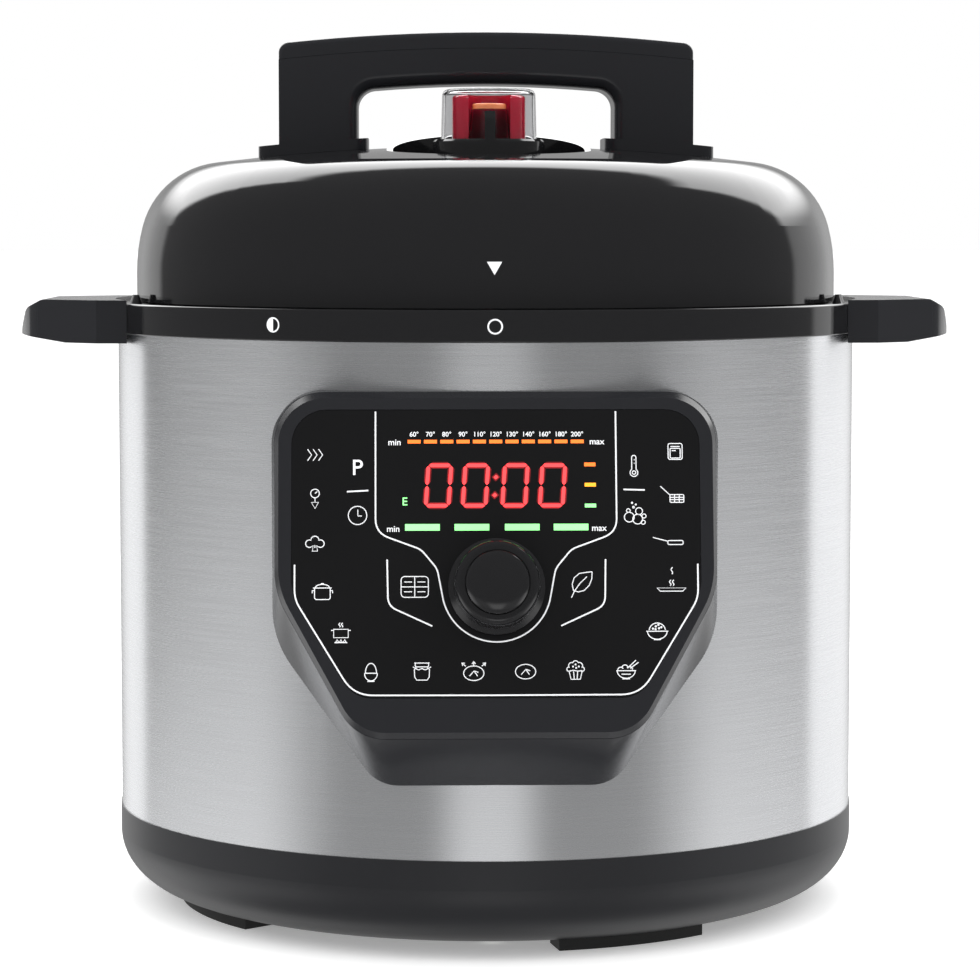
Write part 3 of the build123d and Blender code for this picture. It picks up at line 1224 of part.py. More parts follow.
# ---------------------------------------------------------------- bridge handle
def bridge_profile(top_drop):
    """Sketches the bridge from the front, with its top lowered by top_drop, within the sketch that is open."""
    end_top = HANDLE_TOP - HANDLE_END_DROP - top_drop
    leg_inside = HANDLE_HALF_SPAN - HANDLE_LEG
    under_end = HANDLE_TOP - HANDLE_BAR - 2.4
    foot_z = crown_height(HANDLE_HALF_SPAN) - 6.0
    with BuildLine() as sides:
        ThreePointArc((-HANDLE_HALF_SPAN, end_top), (0, HANDLE_TOP - top_drop), (HANDLE_HALF_SPAN, end_top))
        Polyline(
            (HANDLE_HALF_SPAN, end_top), (HANDLE_HALF_SPAN, foot_z), (leg_inside, foot_z), (leg_inside, under_end)
        )
        ThreePointArc((leg_inside, under_end), (0, HANDLE_TOP - HANDLE_BAR), (-leg_inside, under_end))
        Polyline(
            (-leg_inside, under_end), (-leg_inside, foot_z), (-HANDLE_HALF_SPAN, foot_z), (-HANDLE_HALF_SPAN, end_top)
        )
    outline = make_face(sides.edges())
    inner_corners = outline.vertices().filter_by(lambda v: abs(abs(v.X) - leg_inside) < 0.01 and v.Y > foot_z + 1)
    fillet(inner_corners, HANDLE_INNER_RADIUS)
    return outline


with BuildPart() as bridge_handle:
    with BuildSketch(Plane.XZ):
        bridge_profile(HANDLE_CAP + HANDLE_SPLIT)
    extrude(amount=HANDLE_DEPTH / 2, both=True)
    long_edges = bridge_handle.edges().filter_by(lambda e: abs(abs(e.center().Y) - HANDLE_DEPTH / 2) < 0.01)
    under_edges = long_edges.filter_by(
        lambda e: abs(e.center().X) < HANDLE_HALF_SPAN - 2 and crown_height(60) + 2 < e.center().Z < HANDLE_TOP - 12
    )
    fillet(under_edges, HANDLE_EDGE)
    # foot plates that follow the lid
    plate_centre = (2 * HANDLE_HALF_SPAN - HANDLE_LEG + FOOT_PLATE_OUTSIDE - FOOT_PLATE_INSIDE) / 2
    plate_width = HANDLE_LEG + FOOT_PLATE_OUTSIDE + FOOT_PLATE_INSIDE
    with BuildPart(mode=Mode.PRIVATE) as plates:
        with BuildSketch(Plane.XY.offset(crown_height(HANDLE_HALF_SPAN) - 12)):
            with Locations((-plate_centre, 0), (plate_centre, 0)):
                RectangleRounded(plate_width, FOOT_PLATE_DEPTH, 6.0)
        extrude(amount=30)
        add(plate_skin, mode=Mode.INTERSECT)
    add(plates.part)
    add(lid_clear, mode=Mode.SUBTRACT)
keep(bridge_handle, "bridge_handle")

with BuildPart() as handle_cap:
    with BuildSketch(Plane.XZ):
        bridge_profile(0)
    extrude(amount=HANDLE_DEPTH / 2, both=True)
    with BuildPart(mode=Mode.PRIVATE) as below:
        with BuildSketch(Plane.XZ):
            with BuildLine() as cut_line:
                end_cut = HANDLE_TOP - HANDLE_END_DROP - HANDLE_CAP
                ThreePointArc((-HANDLE_HALF_SPAN, end_cut), (0, HANDLE_TOP - HANDLE_CAP), (HANDLE_HALF_SPAN, end_cut))
                Polyline(
                    (HANDLE_HALF_SPAN, end_cut),
                    (HANDLE_HALF_SPAN + 10, end_cut),
                    (HANDLE_HALF_SPAN + 10, CROWN_CENTRE_Z),
                    (-HANDLE_HALF_SPAN - 10, CROWN_CENTRE_Z),
                    (-HANDLE_HALF_SPAN - 10, end_cut),
                    (-HANDLE_HALF_SPAN, end_cut),
                )
            make_face()
        extrude(amount=HANDLE_DEPTH, both=True)
    add(below.part, mode=Mode.SUBTRACT)
    end_edges = handle_cap.edges().filter_by(Axis.Y).filter_by(lambda e: abs(e.center().X) > HANDLE_HALF_SPAN - 1)
    fillet(end_edges.filter_by(lambda e: e.center().Z > end_cut + 5), HANDLE_OUTER_CORNER)
    top_face = handle_cap.faces().sort_by(Axis.Z)[-1]
    fillet(top_face.edges(), CAP_EDGE)
keep(handle_cap, "handle_cap")


# ---------------------------------------------------------------- condensation cup
RAIL_Y = COLLAR_RADIUS + 0.1
with BuildPart() as cup_bracket:
    rail_inner = CUP_HALF_WIDTH + CLEARANCE
    rail_outer = CUP_HALF_WIDTH + CUP_RIM_REACH + CLEARANCE + RAIL_WALL
    groove_top = CUP_RIM_TOP + CLEARANCE
    groove_bottom = CUP_RIM_TOP - CUP_RIM_THICKNESS - CLEARANCE
    with BuildSketch(Plane.XZ.offset(-(RAIL_Y + RAIL_REACH))):
        with BuildLine():
            Polyline(
                (-rail_outer, groove_top + RAIL_WALL),
                (rail_outer, groove_top + RAIL_WALL),
                (rail_outer, groove_bottom - RAIL_WALL),
                (rail_inner, groove_bottom - RAIL_WALL),
                (rail_inner, groove_bottom),
                (rail_outer - RAIL_WALL, groove_bottom),
                (rail_outer - RAIL_WALL, groove_top),
                (-rail_outer + RAIL_WALL, groove_top),
                (-rail_outer + RAIL_WALL, groove_bottom),
                (-rail_inner, groove_bottom),
                (-rail_inner, groove_bottom - RAIL_WALL),
                (-rail_outer, groove_bottom - RAIL_WALL),
                close=True,
            )
        make_face()
    extrude(amount=RAIL_REACH + 20)
    with BuildSketch(Plane.XY.offset(100)):
        Circle(RAIL_Y)
    extrude(amount=200, mode=Mode.SUBTRACT)
keep(cup_bracket, "cup_bracket")

with BuildPart() as condensation_cup:
    cup_front = COLLAR_RADIUS + 1.2
    cup_depth = CUP_BACK_Y - cup_front
    with BuildSketch(Plane.XY.offset(CUP_RIM_TOP - CUP_HEIGHT)):
        with Locations((0, cup_front + cup_depth / 2)):
            RectangleRounded(2 * CUP_HALF_WIDTH, cup_depth, 9.0)
    extrude(amount=CUP_HEIGHT)
    fillet(condensation_cup.faces().sort_by(Axis.Z)[0].edges(), 4.0)
    offset(amount=-CUP_WALL, openings=condensation_cup.faces().sort_by(Axis.Z)[-1])
    # rims that hang in the rails
    with BuildSketch(Plane.XY.offset(CUP_RIM_TOP - CUP_RIM_THICKNESS)):
        rim_x = CUP_HALF_WIDTH + CUP_RIM_REACH / 2 - 0.5
        with Locations((-rim_x, cup_front + 14.0), (rim_x, cup_front + 14.0)):
            Rectangle(CUP_RIM_REACH + 1.0, 10.0)
    extrude(amount=CUP_RIM_THICKNESS)
keep(condensation_cup, "condensation_cup")


# ---------------------------------------------------------------- fasteners under the base
with BuildPart() as base_screws:
    with BuildSketch(Plane.XY.offset(FOOT_HEIGHT - 1.6)):
        with PolarLocations(JACKET_STUD_CIRCLE, 3, start_angle=30):
            Circle(3.6)
    extrude(amount=1.6)
keep(base_screws, "base_screws")


def write_pieces():
    """Writes every finished piece as a STEP file named after it."""
    os.makedirs("parts", exist_ok=True)
    for piece in pieces:
        export_step(piece, "parts/" + piece.label + ".step")


write_pieces()
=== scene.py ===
"""Looks of the electric pressure cooker, as an add-on whose operators build each group of pieces."""

import json
import math

import bpy
from mathutils import Matrix, Vector


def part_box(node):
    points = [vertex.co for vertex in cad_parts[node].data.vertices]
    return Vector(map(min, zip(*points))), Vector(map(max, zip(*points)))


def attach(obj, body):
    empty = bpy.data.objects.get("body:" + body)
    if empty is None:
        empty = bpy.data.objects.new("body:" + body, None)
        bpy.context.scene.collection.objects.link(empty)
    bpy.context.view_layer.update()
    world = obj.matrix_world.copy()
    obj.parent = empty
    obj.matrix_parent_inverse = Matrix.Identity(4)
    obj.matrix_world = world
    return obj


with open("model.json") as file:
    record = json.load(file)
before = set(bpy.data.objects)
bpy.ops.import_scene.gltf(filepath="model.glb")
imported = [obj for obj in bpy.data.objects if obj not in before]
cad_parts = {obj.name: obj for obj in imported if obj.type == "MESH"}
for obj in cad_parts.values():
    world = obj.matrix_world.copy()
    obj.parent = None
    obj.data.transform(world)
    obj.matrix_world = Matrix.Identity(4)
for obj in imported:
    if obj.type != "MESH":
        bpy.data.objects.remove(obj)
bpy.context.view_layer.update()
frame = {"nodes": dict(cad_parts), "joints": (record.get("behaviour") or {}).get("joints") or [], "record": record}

bl_info = {
    "name": "Electric Pressure Cooker",
    "version": (1, 0, 0),
    "blender": (4, 5, 0),
    "location": "View3D > Sidebar > Cooker",
    "description": "Finishes, printed panel and stage of an electric pressure cooker",
    "category": "Object",
}

MM = 0.001
JOINTS = {joint["name"]: joint for joint in frame["joints"]}


# ---------------------------------------------------------------- sizes and colours
class CookerSizes(bpy.types.PropertyGroup):
    line_width: bpy.props.FloatProperty(
        name="Line width",
        description="Width of the white lines on the panel",
        default=0.56 * MM,
        unit="LENGTH",
    )
    symbol_width: bpy.props.FloatProperty(
        name="Symbol width", description="Width of the strokes in a symbol", default=0.34 * MM, unit="LENGTH"
    )
    print_height: bpy.props.FloatProperty(
        name="Print height", description="Thickness of the printed ink", default=0.04 * MM, unit="LENGTH"
    )
    digit_height: bpy.props.FloatProperty(
        name="Digit height", description="Height of a display digit", default=15.6 * MM, unit="LENGTH"
    )
    label_height: bpy.props.FloatProperty(
        name="Label height", description="Height of the temperature numbers", default=1.75 * MM, unit="LENGTH"
    )
    camera_distance: bpy.props.FloatProperty(
        name="Camera distance",
        description="From the camera to the cooker's axis",
        default=1.311,
        unit="LENGTH",
    )
    camera_height: bpy.props.FloatProperty(
        name="Camera height", description="Height of the camera over the floor", default=0.262, unit="LENGTH"
    )


class CookerColours(bpy.types.PropertyGroup):
    gloss_black: bpy.props.FloatVectorProperty(
        name="Gloss black", description="Lid and collar", subtype="COLOR", default=(0.0085, 0.0085, 0.0092)
    )
    satin_black: bpy.props.FloatVectorProperty(
        name="Satin black",
        description="Base, handles and panel frame",
        subtype="COLOR",
        default=(0.014, 0.0144, 0.0165),
    )
    steel: bpy.props.FloatVectorProperty(
        name="Steel", description="Brushed sleeve", subtype="COLOR", default=(0.84, 0.85, 0.87)
    )
    ink: bpy.props.FloatVectorProperty(
        name="Ink", description="White print", subtype="COLOR", default=(0.82, 0.83, 0.85)
    )
    digit_red: bpy.props.FloatVectorProperty(
        name="Digit red", description="Lit display segments", subtype="COLOR", default=(1.0, 0.045, 0.05)
    )
    bar_green: bpy.props.FloatVectorProperty(
        name="Bar green", description="Lit level bars", subtype="COLOR", default=(0.27, 0.9, 0.28)
    )
    mark_orange: bpy.props.FloatVectorProperty(
        name="Mark orange", description="Lit temperature marks", subtype="COLOR", default=(0.95, 0.17, 0.02)
    )
    lamp_amber: bpy.props.FloatVectorProperty(
        name="Lamp amber", description="Lit amber lamp", subtype="COLOR", default=(1.0, 0.36, 0.02)
    )
    weight_red: bpy.props.FloatVectorProperty(
        name="Weight red", description="Valve weight and float", subtype="COLOR", default=(0.45, 0.012, 0.035)
    )
    float_orange: bpy.props.FloatVectorProperty(
        name="Float orange", description="Cap of the float", subtype="COLOR", default=(0.95, 0.3, 0.12)
    )


# ---------------------------------------------------------------- shared helpers
def deselect():
    """Leaves edit mode and selects nothing."""
    if bpy.context.object and bpy.context.object.mode != "OBJECT":
        bpy.ops.object.mode_set(mode="OBJECT")
    bpy.ops.object.select_all(action="DESELECT")


def activate(piece):
    """Makes piece the only selected object and the active one."""
    deselect()
    piece.select_set(True)
    bpy.context.view_layer.objects.active = piece


def settle(piece, name, finish, body, place=None):
    """Puts a finished piece at its place, applies that to its mesh, and lets it ride on its body."""
    if place is not None:
        piece.matrix_world = place @ piece.matrix_world
    activate(piece)
    bpy.ops.object.transform_apply(location=True, rotation=True, scale=True)
    piece.name = name
    piece.data.name = name
    piece.data.materials.clear()
    piece.data.materials.append(finish)
    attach(piece, body)
    return piece


def joined(pieces):
    """Joins several mesh objects into the first."""
    deselect()
    for piece in pieces:
        piece.select_set(True)
    bpy.context.view_layer.objects.active = pieces[0]
    if len(pieces) > 1:
        bpy.ops.object.join()
    return bpy.context.view_layer.objects.active


def panel_place():
    """The frame of the panel's face: its origin is on the dial's axis, and Z points out of the face."""
    joint = JOINTS["dial_spin"]
    out = Vector(joint["axis"]).normalized()
    across = Vector((1, 0, 0))
    up = out.cross(across).normalized()
    turn = Matrix((across, up, out)).transposed().to_4x4()
    return Matrix.Translation(Vector(joint["pos_m"])) @ turn


# ---------------------------------------------------------------- shader node groups
def new_group(name, inputs, outputs):
    """An empty shader node group with those sockets: (name, type, default) in, (name, type) out."""
    group = bpy.data.node_groups.new(name, "ShaderNodeTree")
    for socket, kind, default in inputs:
        made = group.interface.new_socket(socket, in_out="INPUT", socket_type=kind)
        if default is not None:
            made.default_value = default
    for socket, kind in outputs:
        group.interface.new_socket(socket, in_out="OUTPUT", socket_type=kind)
    entry = group.nodes.new("NodeGroupInput")
    leave = group.nodes.new("NodeGroupOutput")
    return group, entry, leave


def math_node(tree, operation, first, second=None, clamp=False):
    """A Math node fed by sockets or numbers."""
    made = tree.nodes.new("ShaderNodeMath")
    made.operation = operation
    made.use_clamp = clamp
    for slot, value in enumerate((first, second)):
        if value is None:
            continue
        if isinstance(value, (int, float)):
            made.inputs[slot].default_value = value
        else:
            tree.links.new(value, made.inputs[slot])
    return made.outputs[0]


def moulded_group():
    """Fine moulded grain: a normal and a roughness that varies slowly over the surface."""
    group, entry, leave = new_group(
        "Moulded grain",
        [
            ("Grain size", "NodeSocketFloat", 1400.0),
            ("Grain depth", "NodeSocketFloat", 0.00001),
            ("Roughness", "NodeSocketFloat", 0.4),
            ("Roughness spread", "NodeSocketFloat", 0.05),
            ("Colour", "NodeSocketColor", (0.02, 0.02, 0.02, 1)),
            ("Colour spread", "NodeSocketFloat", 0.1),
        ],
        [("Colour", "NodeSocketColor"), ("Roughness", "NodeSocketFloat"), ("Normal", "NodeSocketVector")],
    )
    links = group.links
    place = group.nodes.new("ShaderNodeTexCoord")
    grain = group.nodes.new("ShaderNodeTexNoise")
    grain.inputs["Detail"].default_value = 2.0
    links.new(place.outputs["Object"], grain.inputs["Vector"])
    links.new(entry.outputs["Grain size"], grain.inputs["Scale"])
    bump = group.nodes.new("ShaderNodeBump")
    links.new(grain.outputs["Fac"], bump.inputs["Height"])
    links.new(entry.outputs["Grain depth"], bump.inputs["Distance"])
    links.new(bump.outputs["Normal"], leave.inputs["Normal"])
    cloud = group.nodes.new("ShaderNodeTexNoise")
    cloud.inputs["Scale"].default_value = 24.0
    cloud.inputs["Detail"].default_value = 5.0
    links.new(place.outputs["Object"], cloud.inputs["Vector"])
    centred = math_node(group, "SUBTRACT", cloud.outputs["Fac"], 0.5)
    spread = math_node(group, "MULTIPLY", centred, entry.outputs["Roughness spread"])
    rough = math_node(group, "ADD", entry.outputs["Roughness"], spread, clamp=True)
    links.new(rough, leave.inputs["Roughness"])
    shade = math_node(group, "MULTIPLY", centred, entry.outputs["Colour spread"])
    gain = math_node(group, "ADD", shade, 1.0)
    scaled = group.nodes.new("ShaderNodeVectorMath")
    scaled.operation = "SCALE"
    links.new(entry.outputs["Colour"], scaled.inputs[0])
    links.new(gain, scaled.inputs["Scale"])
    links.new(scaled.outputs["Vector"], leave.inputs["Colour"])
    return group


def brushed_group():
    """Brush lines round a vertical axis: long along the turn and fine in height."""
    group, entry, leave = new_group(
        "Brush lines",
        [
            ("Lines", "NodeSocketFloat", 2600.0),
            ("Length", "NodeSocketFloat", 30.0),
            ("Depth", "NodeSocketFloat", 0.000004),
            ("Roughness", "NodeSocketFloat", 0.3),
            ("Roughness spread", "NodeSocketFloat", 0.12),
            ("Colour", "NodeSocketColor", (0.6, 0.6, 0.6, 1)),
            ("Colour spread", "NodeSocketFloat", 0.12),
        ],
        [("Colour", "NodeSocketColor"), ("Roughness", "NodeSocketFloat"), ("Normal", "NodeSocketVector")],
    )
    links = group.links
    place = group.nodes.new("ShaderNodeTexCoord")
    apart = group.nodes.new("ShaderNodeSeparateXYZ")
    links.new(place.outputs["Object"], apart.inputs[0])
    # the noise reads the two horizontal directions slowly and the height quickly
    across = math_node(group, "MULTIPLY", apart.outputs["X"], entry.outputs["Length"])
    along = math_node(group, "MULTIPLY", apart.outputs["Y"], entry.outputs["Length"])
    height = math_node(group, "MULTIPLY", apart.outputs["Z"], entry.outputs["Lines"])
    together = group.nodes.new("ShaderNodeCombineXYZ")
    links.new(across, together.inputs["X"])
    links.new(along, together.inputs["Y"])
    links.new(height, together.inputs["Z"])
    lines = group.nodes.new("ShaderNodeTexNoise")
    lines.inputs["Scale"].default_value = 1.0
    lines.inputs["Detail"].default_value = 3.0
    lines.inputs["Roughness"].default_value = 0.65
    links.new(together.outputs["Vector"], lines.inputs["Vector"])
    bump = group.nodes.new("ShaderNodeBump")
    links.new(lines.outputs["Fac"], bump.inputs["Height"])
    links.new(entry.outputs["Depth"], bump.inputs["Distance"])
    links.new(bump.outputs["Normal"], leave.inputs["Normal"])
    centred = math_node(group, "SUBTRACT", lines.outputs["Fac"], 0.5)
    spread = math_node(group, "MULTIPLY", centred, entry.outputs["Roughness spread"])
    rough = math_node(group, "ADD", entry.outputs["Roughness"], spread, clamp=True)
    links.new(rough, leave.inputs["Roughness"])
    shade = math_node(group, "MULTIPLY", centred, entry.outputs["Colour spread"])
    gain = math_node(group, "ADD", shade, 1.0)
    scaled = group.nodes.new("ShaderNodeVectorMath")
    scaled.operation = "SCALE"
    links.new(entry.outputs["Colour"], scaled.inputs[0])
    links.new(gain, scaled.inputs["Scale"])
    links.new(scaled.outputs["Vector"], leave.inputs["Colour"])
    return group


GROUPS = {}


def shared(name, maker):
    """The node group of that name, made on first use."""
    if name not in GROUPS:
        GROUPS[name] = maker()
    return GROUPS[name]


# ---------------------------------------------------------------- finishes
def new_finish(name, **settings):
    """A material whose Principled BSDF has these values on its own sockets."""
    finish = bpy.data.materials.new(name)
    finish.use_nodes = True
    shader = finish.node_tree.nodes["Principled BSDF"]
    for socket, value in settings.items():
        title = socket.replace("_", " ")
        shader.inputs[title].default_value = (*value, 1.0) if title.endswith("Color") else value
    return finish, shader


def grained(finish, shader, group, colour, **values):
    """Feeds a finish's colour, roughness and normal from a shared group."""
    tree = finish.node_tree
    made = tree.nodes.new("ShaderNodeGroup")
    made.node_tree = group
    made.inputs["Colour"].default_value = (*colour, 1.0)
    for socket, value in values.items():
        made.inputs[socket.replace("_", " ")].default_value = value
    tree.links.new(made.outputs["Colour"], shader.inputs["Base Color"])
    tree.links.new(made.outputs["Roughness"], shader.inputs["Roughness"])
    tree.links.new(made.outputs["Normal"], shader.inputs["Normal"])
    return finish


def plastic(name, colour, roughness, grain_depth, spread=0.06, grain_size=1400.0, **settings):
    """A moulded plastic."""
    finish, shader = new_finish(name, **settings)
    return grained(
        finish,
        shader,
        shared("moulded", moulded_group),
        colour,
        Roughness=roughness,
        Roughness_spread=spread,
        Grain_depth=grain_depth,
        Grain_size=grain_size,
    )


def metal(name, colour, roughness, lines, length, depth, spread=0.12, shade=0.12, **settings):
    """A brushed or drawn metal."""
    finish, shader = new_finish(name, Metallic=1.0, **settings)
    return grained(
        finish,
        shader,
        shared("brushed", brushed_group),
        colour,
        Roughness=roughness,
        Roughness_spread=spread,
        Lines=lines,
        Length=length,
        Depth=depth,
        Colour_spread=shade,
    )


def clear_plastic(name, tint, roughness):
    """A clear plastic with faint flow marks."""
    finish, shader = new_finish(name, Transmission_Weight=1.0, IOR=1.12)
    return grained(
        finish,
        shader,
        shared("moulded", moulded_group),
        tint,
        Roughness=roughness,
        Roughness_spread=0.02,
        Grain_depth=0.000002,
        Grain_size=60.0,
        Colour_spread=0.02,
    )


def lit(name, colour, strength, roughness=0.4):
    """A lit lamp or segment, a little uneven over its face."""
    finish, shader = new_finish(name, Emission_Strength=strength)
    tree = finish.node_tree
    grained(
        finish, shader, shared("moulded", moulded_group), colour, Roughness=roughness, Grain_depth=0.000001
    )
    source = shader.inputs["Base Color"].links[0].from_socket
    tree.links.new(source, shader.inputs["Emission Color"])
    return finish


FINISHES = {}
# nodes whose finish is shinier than the slot that their record names
GLOSSIER = {
    "selector_ring": "gloss_black",
    "dial_ring": "gloss_black",
    "dial_cap": "gloss_black",
    "control_panel": "housing_black",
    "handle_left": "housing_black",
    "handle_right": "housing_black",
    "bridge_handle": "housing_black",
    "handle_cap": "housing_black",
}


def build_finishes(colours):
    """Makes every finish once."""
    steel = metal("brushed_steel", colours.steel, 0.27, 2600.0, 26.0, 0.000004, Anisotropic=0.85)
    shader = steel.node_tree.nodes["Principled BSDF"]
    # a quarter turn, so that the brush lines run round the sleeve
    shader.inputs["Anisotropic Rotation"].default_value = 0.25
    tangent = steel.node_tree.nodes.new("ShaderNodeTangent")
    tangent.direction_type = "RADIAL"
    tangent.axis = "Z"
    steel.node_tree.links.new(tangent.outputs["Tangent"], shader.inputs["Tangent"])
    FINISHES.update(
        {
            "brushed_shell": steel,
            "gloss_black": plastic("polished_black", colours.gloss_black, 0.07, 0.0000008, 0.03, 90.0),
            "housing_black": plastic(
                "housing_black", colours.satin_black, 0.2, 0.000003, 0.05, Specular_IOR_Level=0.35
            ),
            "satin_black": plastic(
                "satin_black", colours.satin_black, 0.36, 0.000012, 0.06, Specular_IOR_Level=0.3
            ),
            "foot_rubber": plastic("foot_rubber", (0.012, 0.012, 0.012), 0.8, 0.00003, 0.1, 900.0),
            "jacket_steel": metal("pressed_steel", (0.55, 0.55, 0.55), 0.35, 500.0, 60.0, 0.000003),
            "pot_steel": metal(
                "polished_steel", (0.68, 0.68, 0.69), 0.16, 1800.0, 18.0, 0.000002, 0.06, 0.06
            ),
            "cast_aluminium": metal("cast_aluminium", (0.66, 0.66, 0.67), 0.42, 420.0, 380.0, 0.00001),
            "element_metal": metal("element_sheath", (0.3, 0.29, 0.28), 0.5, 300.0, 300.0, 0.00001),
            "zinc_steel": metal("zinc_plate", (0.6, 0.6, 0.58), 0.28, 500.0, 480.0, 0.000004),
            "spring_steel": metal("spring_wire", (0.5, 0.5, 0.5), 0.22, 900.0, 700.0, 0.000002),
            "brass_pins": metal("brass_pins", (0.72, 0.52, 0.2), 0.25, 700.0, 700.0, 0.000002),
            "fuse_sleeve": plastic("woven_sleeve", (0.7, 0.68, 0.6), 0.85, 0.00005, 0.1, 700.0),
            "circuit_board": plastic("circuit_board", (0.015, 0.12, 0.04), 0.3, 0.00001, 0.1, 300.0),
            "component_black": plastic("component_black", (0.02, 0.02, 0.022), 0.5, 0.00001),
            "lead_sleeve": plastic("lead_sleeve", (0.12, 0.05, 0.03), 0.55, 0.00001),
            "ribbon_grey": plastic("ribbon_grey", (0.4, 0.4, 0.41), 0.5, 0.00001),
            "panel_print": plastic(
                "panel_film", (0.0055, 0.0055, 0.006), 0.34, 0.000004, 0.04, 1600.0, Specular_IOR_Level=0.25
            ),
            "display_red": plastic("display_body", (0.03, 0.004, 0.004), 0.2, 0.000002),
            "silicone": plastic("silicone", (0.62, 0.62, 0.6), 0.5, 0.00001, Subsurface_Weight=0.2),
            "clear_plastic": clear_plastic("clear_plastic", (0.97, 0.97, 0.98), 0.03),
            "red_plastic": plastic("red_plastic", colours.weight_red, 0.14, 0.000002, 0.04, 200.0),
            "orange_plastic": plastic("orange_plastic", colours.float_orange, 0.2, 0.000002, 0.04, 200.0),
            "ink": plastic("white_ink", colours.ink, 0.5, 0.000002, 0.1, 3000.0),
            "lit_red": lit("lit_red", colours.digit_red, 1.15),
            "glow_red": lit("glow_red", (0.16, 0.004, 0.006), 0.5),
            "lit_green": lit("lit_green", colours.bar_green, 0.75),
            "lit_orange": lit("lit_orange", colours.mark_orange, 0.8),
            "lit_amber": lit("lit_amber", colours.lamp_amber, 0.8),
        }
    )


class COOKER_OT_finishes(bpy.types.Operator):
    """Give every carried-over node its finish"""

    bl_idname = "cooker.finishes"
    bl_label = "Finishes"

    def execute(self, context):
        build_finishes(context.scene.cooker_colours)
        slots = {part["node"]: part["material_slot"] for part in frame["record"]["subparts"]}
        for name, piece in frame["nodes"].items():
            slot = GLOSSIER.get(name, slots[name])
            if slot not in FINISHES:
                raise RuntimeError("no finish for " + slot)
            for held in piece.material_slots:
                held.material = FINISHES[slot]
        return {"FINISHED"}


# ---------------------------------------------------------------- printed panel
def circle(x, y, radius, first=0, last=360, flat=1.0, step=15):
    """Points round a circle or an arc of it, in millimetres, squashed in height by flat."""
    count = max(6, int(abs(last - first) / step))
    angles = [math.radians(first + (last - first) * number / count) for number in range(count + 1)]
    return [(x + radius * math.cos(a), y + radius * flat * math.sin(a)) for a in angles]


def box_line(x, y, width, height, corner):
    """Points round a rounded rectangle about a centre."""
    points = []
    for sign_x, sign_y, first in ((1, 1, 0), (-1, 1, 90), (-1, -1, 180), (1, -1, 270)):
        middle_x = x + sign_x * (width / 2 - corner)
        middle_y = y + sign_y * (height / 2 - corner)
        points += circle(middle_x, middle_y, corner, first, first + 90)
    return points + points[:1]


def wave(x, y, height):
    """A short wisp of steam."""
    return [(x + 0.28 * math.sin(step * 1.2), y + height * step / 6) for step in range(7)]


